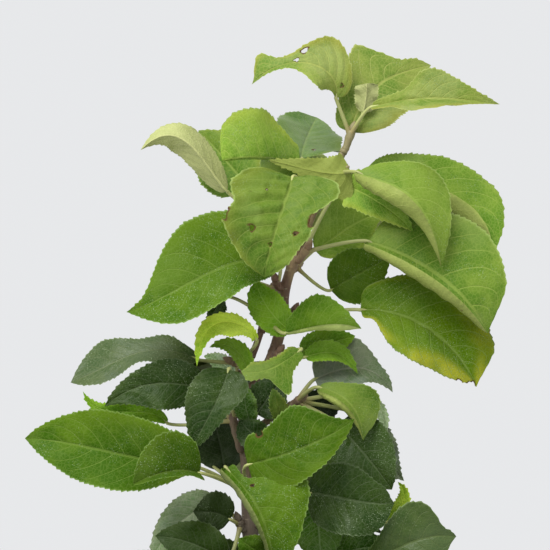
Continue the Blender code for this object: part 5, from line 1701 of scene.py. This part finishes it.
class APPLETREE_OT_stage(bpy.types.Operator):
    """Set up the floor, the soft light and the camera."""

    bl_idname = "appletree.stage"
    bl_label = "Studio"

    def execute(self, context):
        scene = context.scene
        patchwork = Patchwork()
        profile = np.array(((0, -FLOOR_THICKNESS), (FLOOR_RADIUS, -FLOOR_THICKNESS),
                            (FLOOR_RADIUS, 0), (0, 0)))
        add_turned(patchwork, profile, FLOOR_SIDES)
        floor = patchwork.build("studio_floor", [floor_finish(scene.tree_colours)])
        world = bpy.data.worlds.new("studio")
        world.use_nodes = True
        shade = world.node_tree.nodes["Background"]
        shade.inputs["Color"].default_value = (*BACKDROP, 1.0)
        shade.inputs["Strength"].default_value = 1.0
        scene.world = world
        scene.view_settings.view_transform = "Standard"
        add_softbox(scene.tree_sizes.light)
        camera = bpy.data.cameras.new("viewer")
        camera.sensor_width = FILM
        camera.lens = FILM * -VIEWER[1] / VIEW_WIDTH
        camera.clip_end = FARTHEST_SEEN
        seat = bpy.data.objects.new("viewer", camera)
        seat.location = VIEWER
        seat.rotation_euler = (math.pi / 2, 0.0, 0.0)
        scene.collection.objects.link(seat)
        scene.camera = seat
        return {"FINISHED"}


class APPLETREE_PT_panel(bpy.types.Panel):
    """The tree's steps, sizes and colours."""

    bl_label = "Apple Tree"
    bl_idname = "APPLETREE_PT_panel"
    bl_space_type = "VIEW_3D"
    bl_region_type = "UI"
    bl_category = "Apple Tree"

    def draw(self, context):
        scene = context.scene
        for step in STEPS:
            self.layout.operator(step.bl_idname)
        for group in (scene.tree_sizes, scene.tree_colours, scene.leaf_colours):
            box = self.layout.box()
            for name in group.__annotations__:
                box.prop(group, name)


STEPS = (APPLETREE_OT_stage, APPLETREE_OT_limbs, APPLETREE_OT_spurs, APPLETREE_OT_petioles,
         APPLETREE_OT_leaves, APPLETREE_OT_pot, APPLETREE_OT_soil)
GROUPS = {"tree_sizes": TreeSizes, "tree_colours": TreeColours, "leaf_colours": LeafColours}


def register():
    """Make the classes and the scene's settings known."""
    for made in (*GROUPS.values(), *STEPS, APPLETREE_PT_panel):
        bpy.utils.register_class(made)
    for name, group in GROUPS.items():
        setattr(bpy.types.Scene, name, PointerProperty(type=group))


def unregister():
    """Take the settings and the classes away again."""
    for name in GROUPS:
        delattr(bpy.types.Scene, name)
    for made in (APPLETREE_PT_panel, *reversed(STEPS), *GROUPS.values()):
        bpy.utils.unregister_class(made)


def main():
    """Build the whole tree, step by step."""
    register()
    bpy.ops.appletree.stage()
    bpy.ops.appletree.limbs()
    bpy.ops.appletree.spurs()
    bpy.ops.appletree.petioles()
    bpy.ops.appletree.leaves()
    bpy.ops.appletree.pot()
    bpy.ops.appletree.soil()
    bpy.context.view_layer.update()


if __name__ == "__main__":
    main()
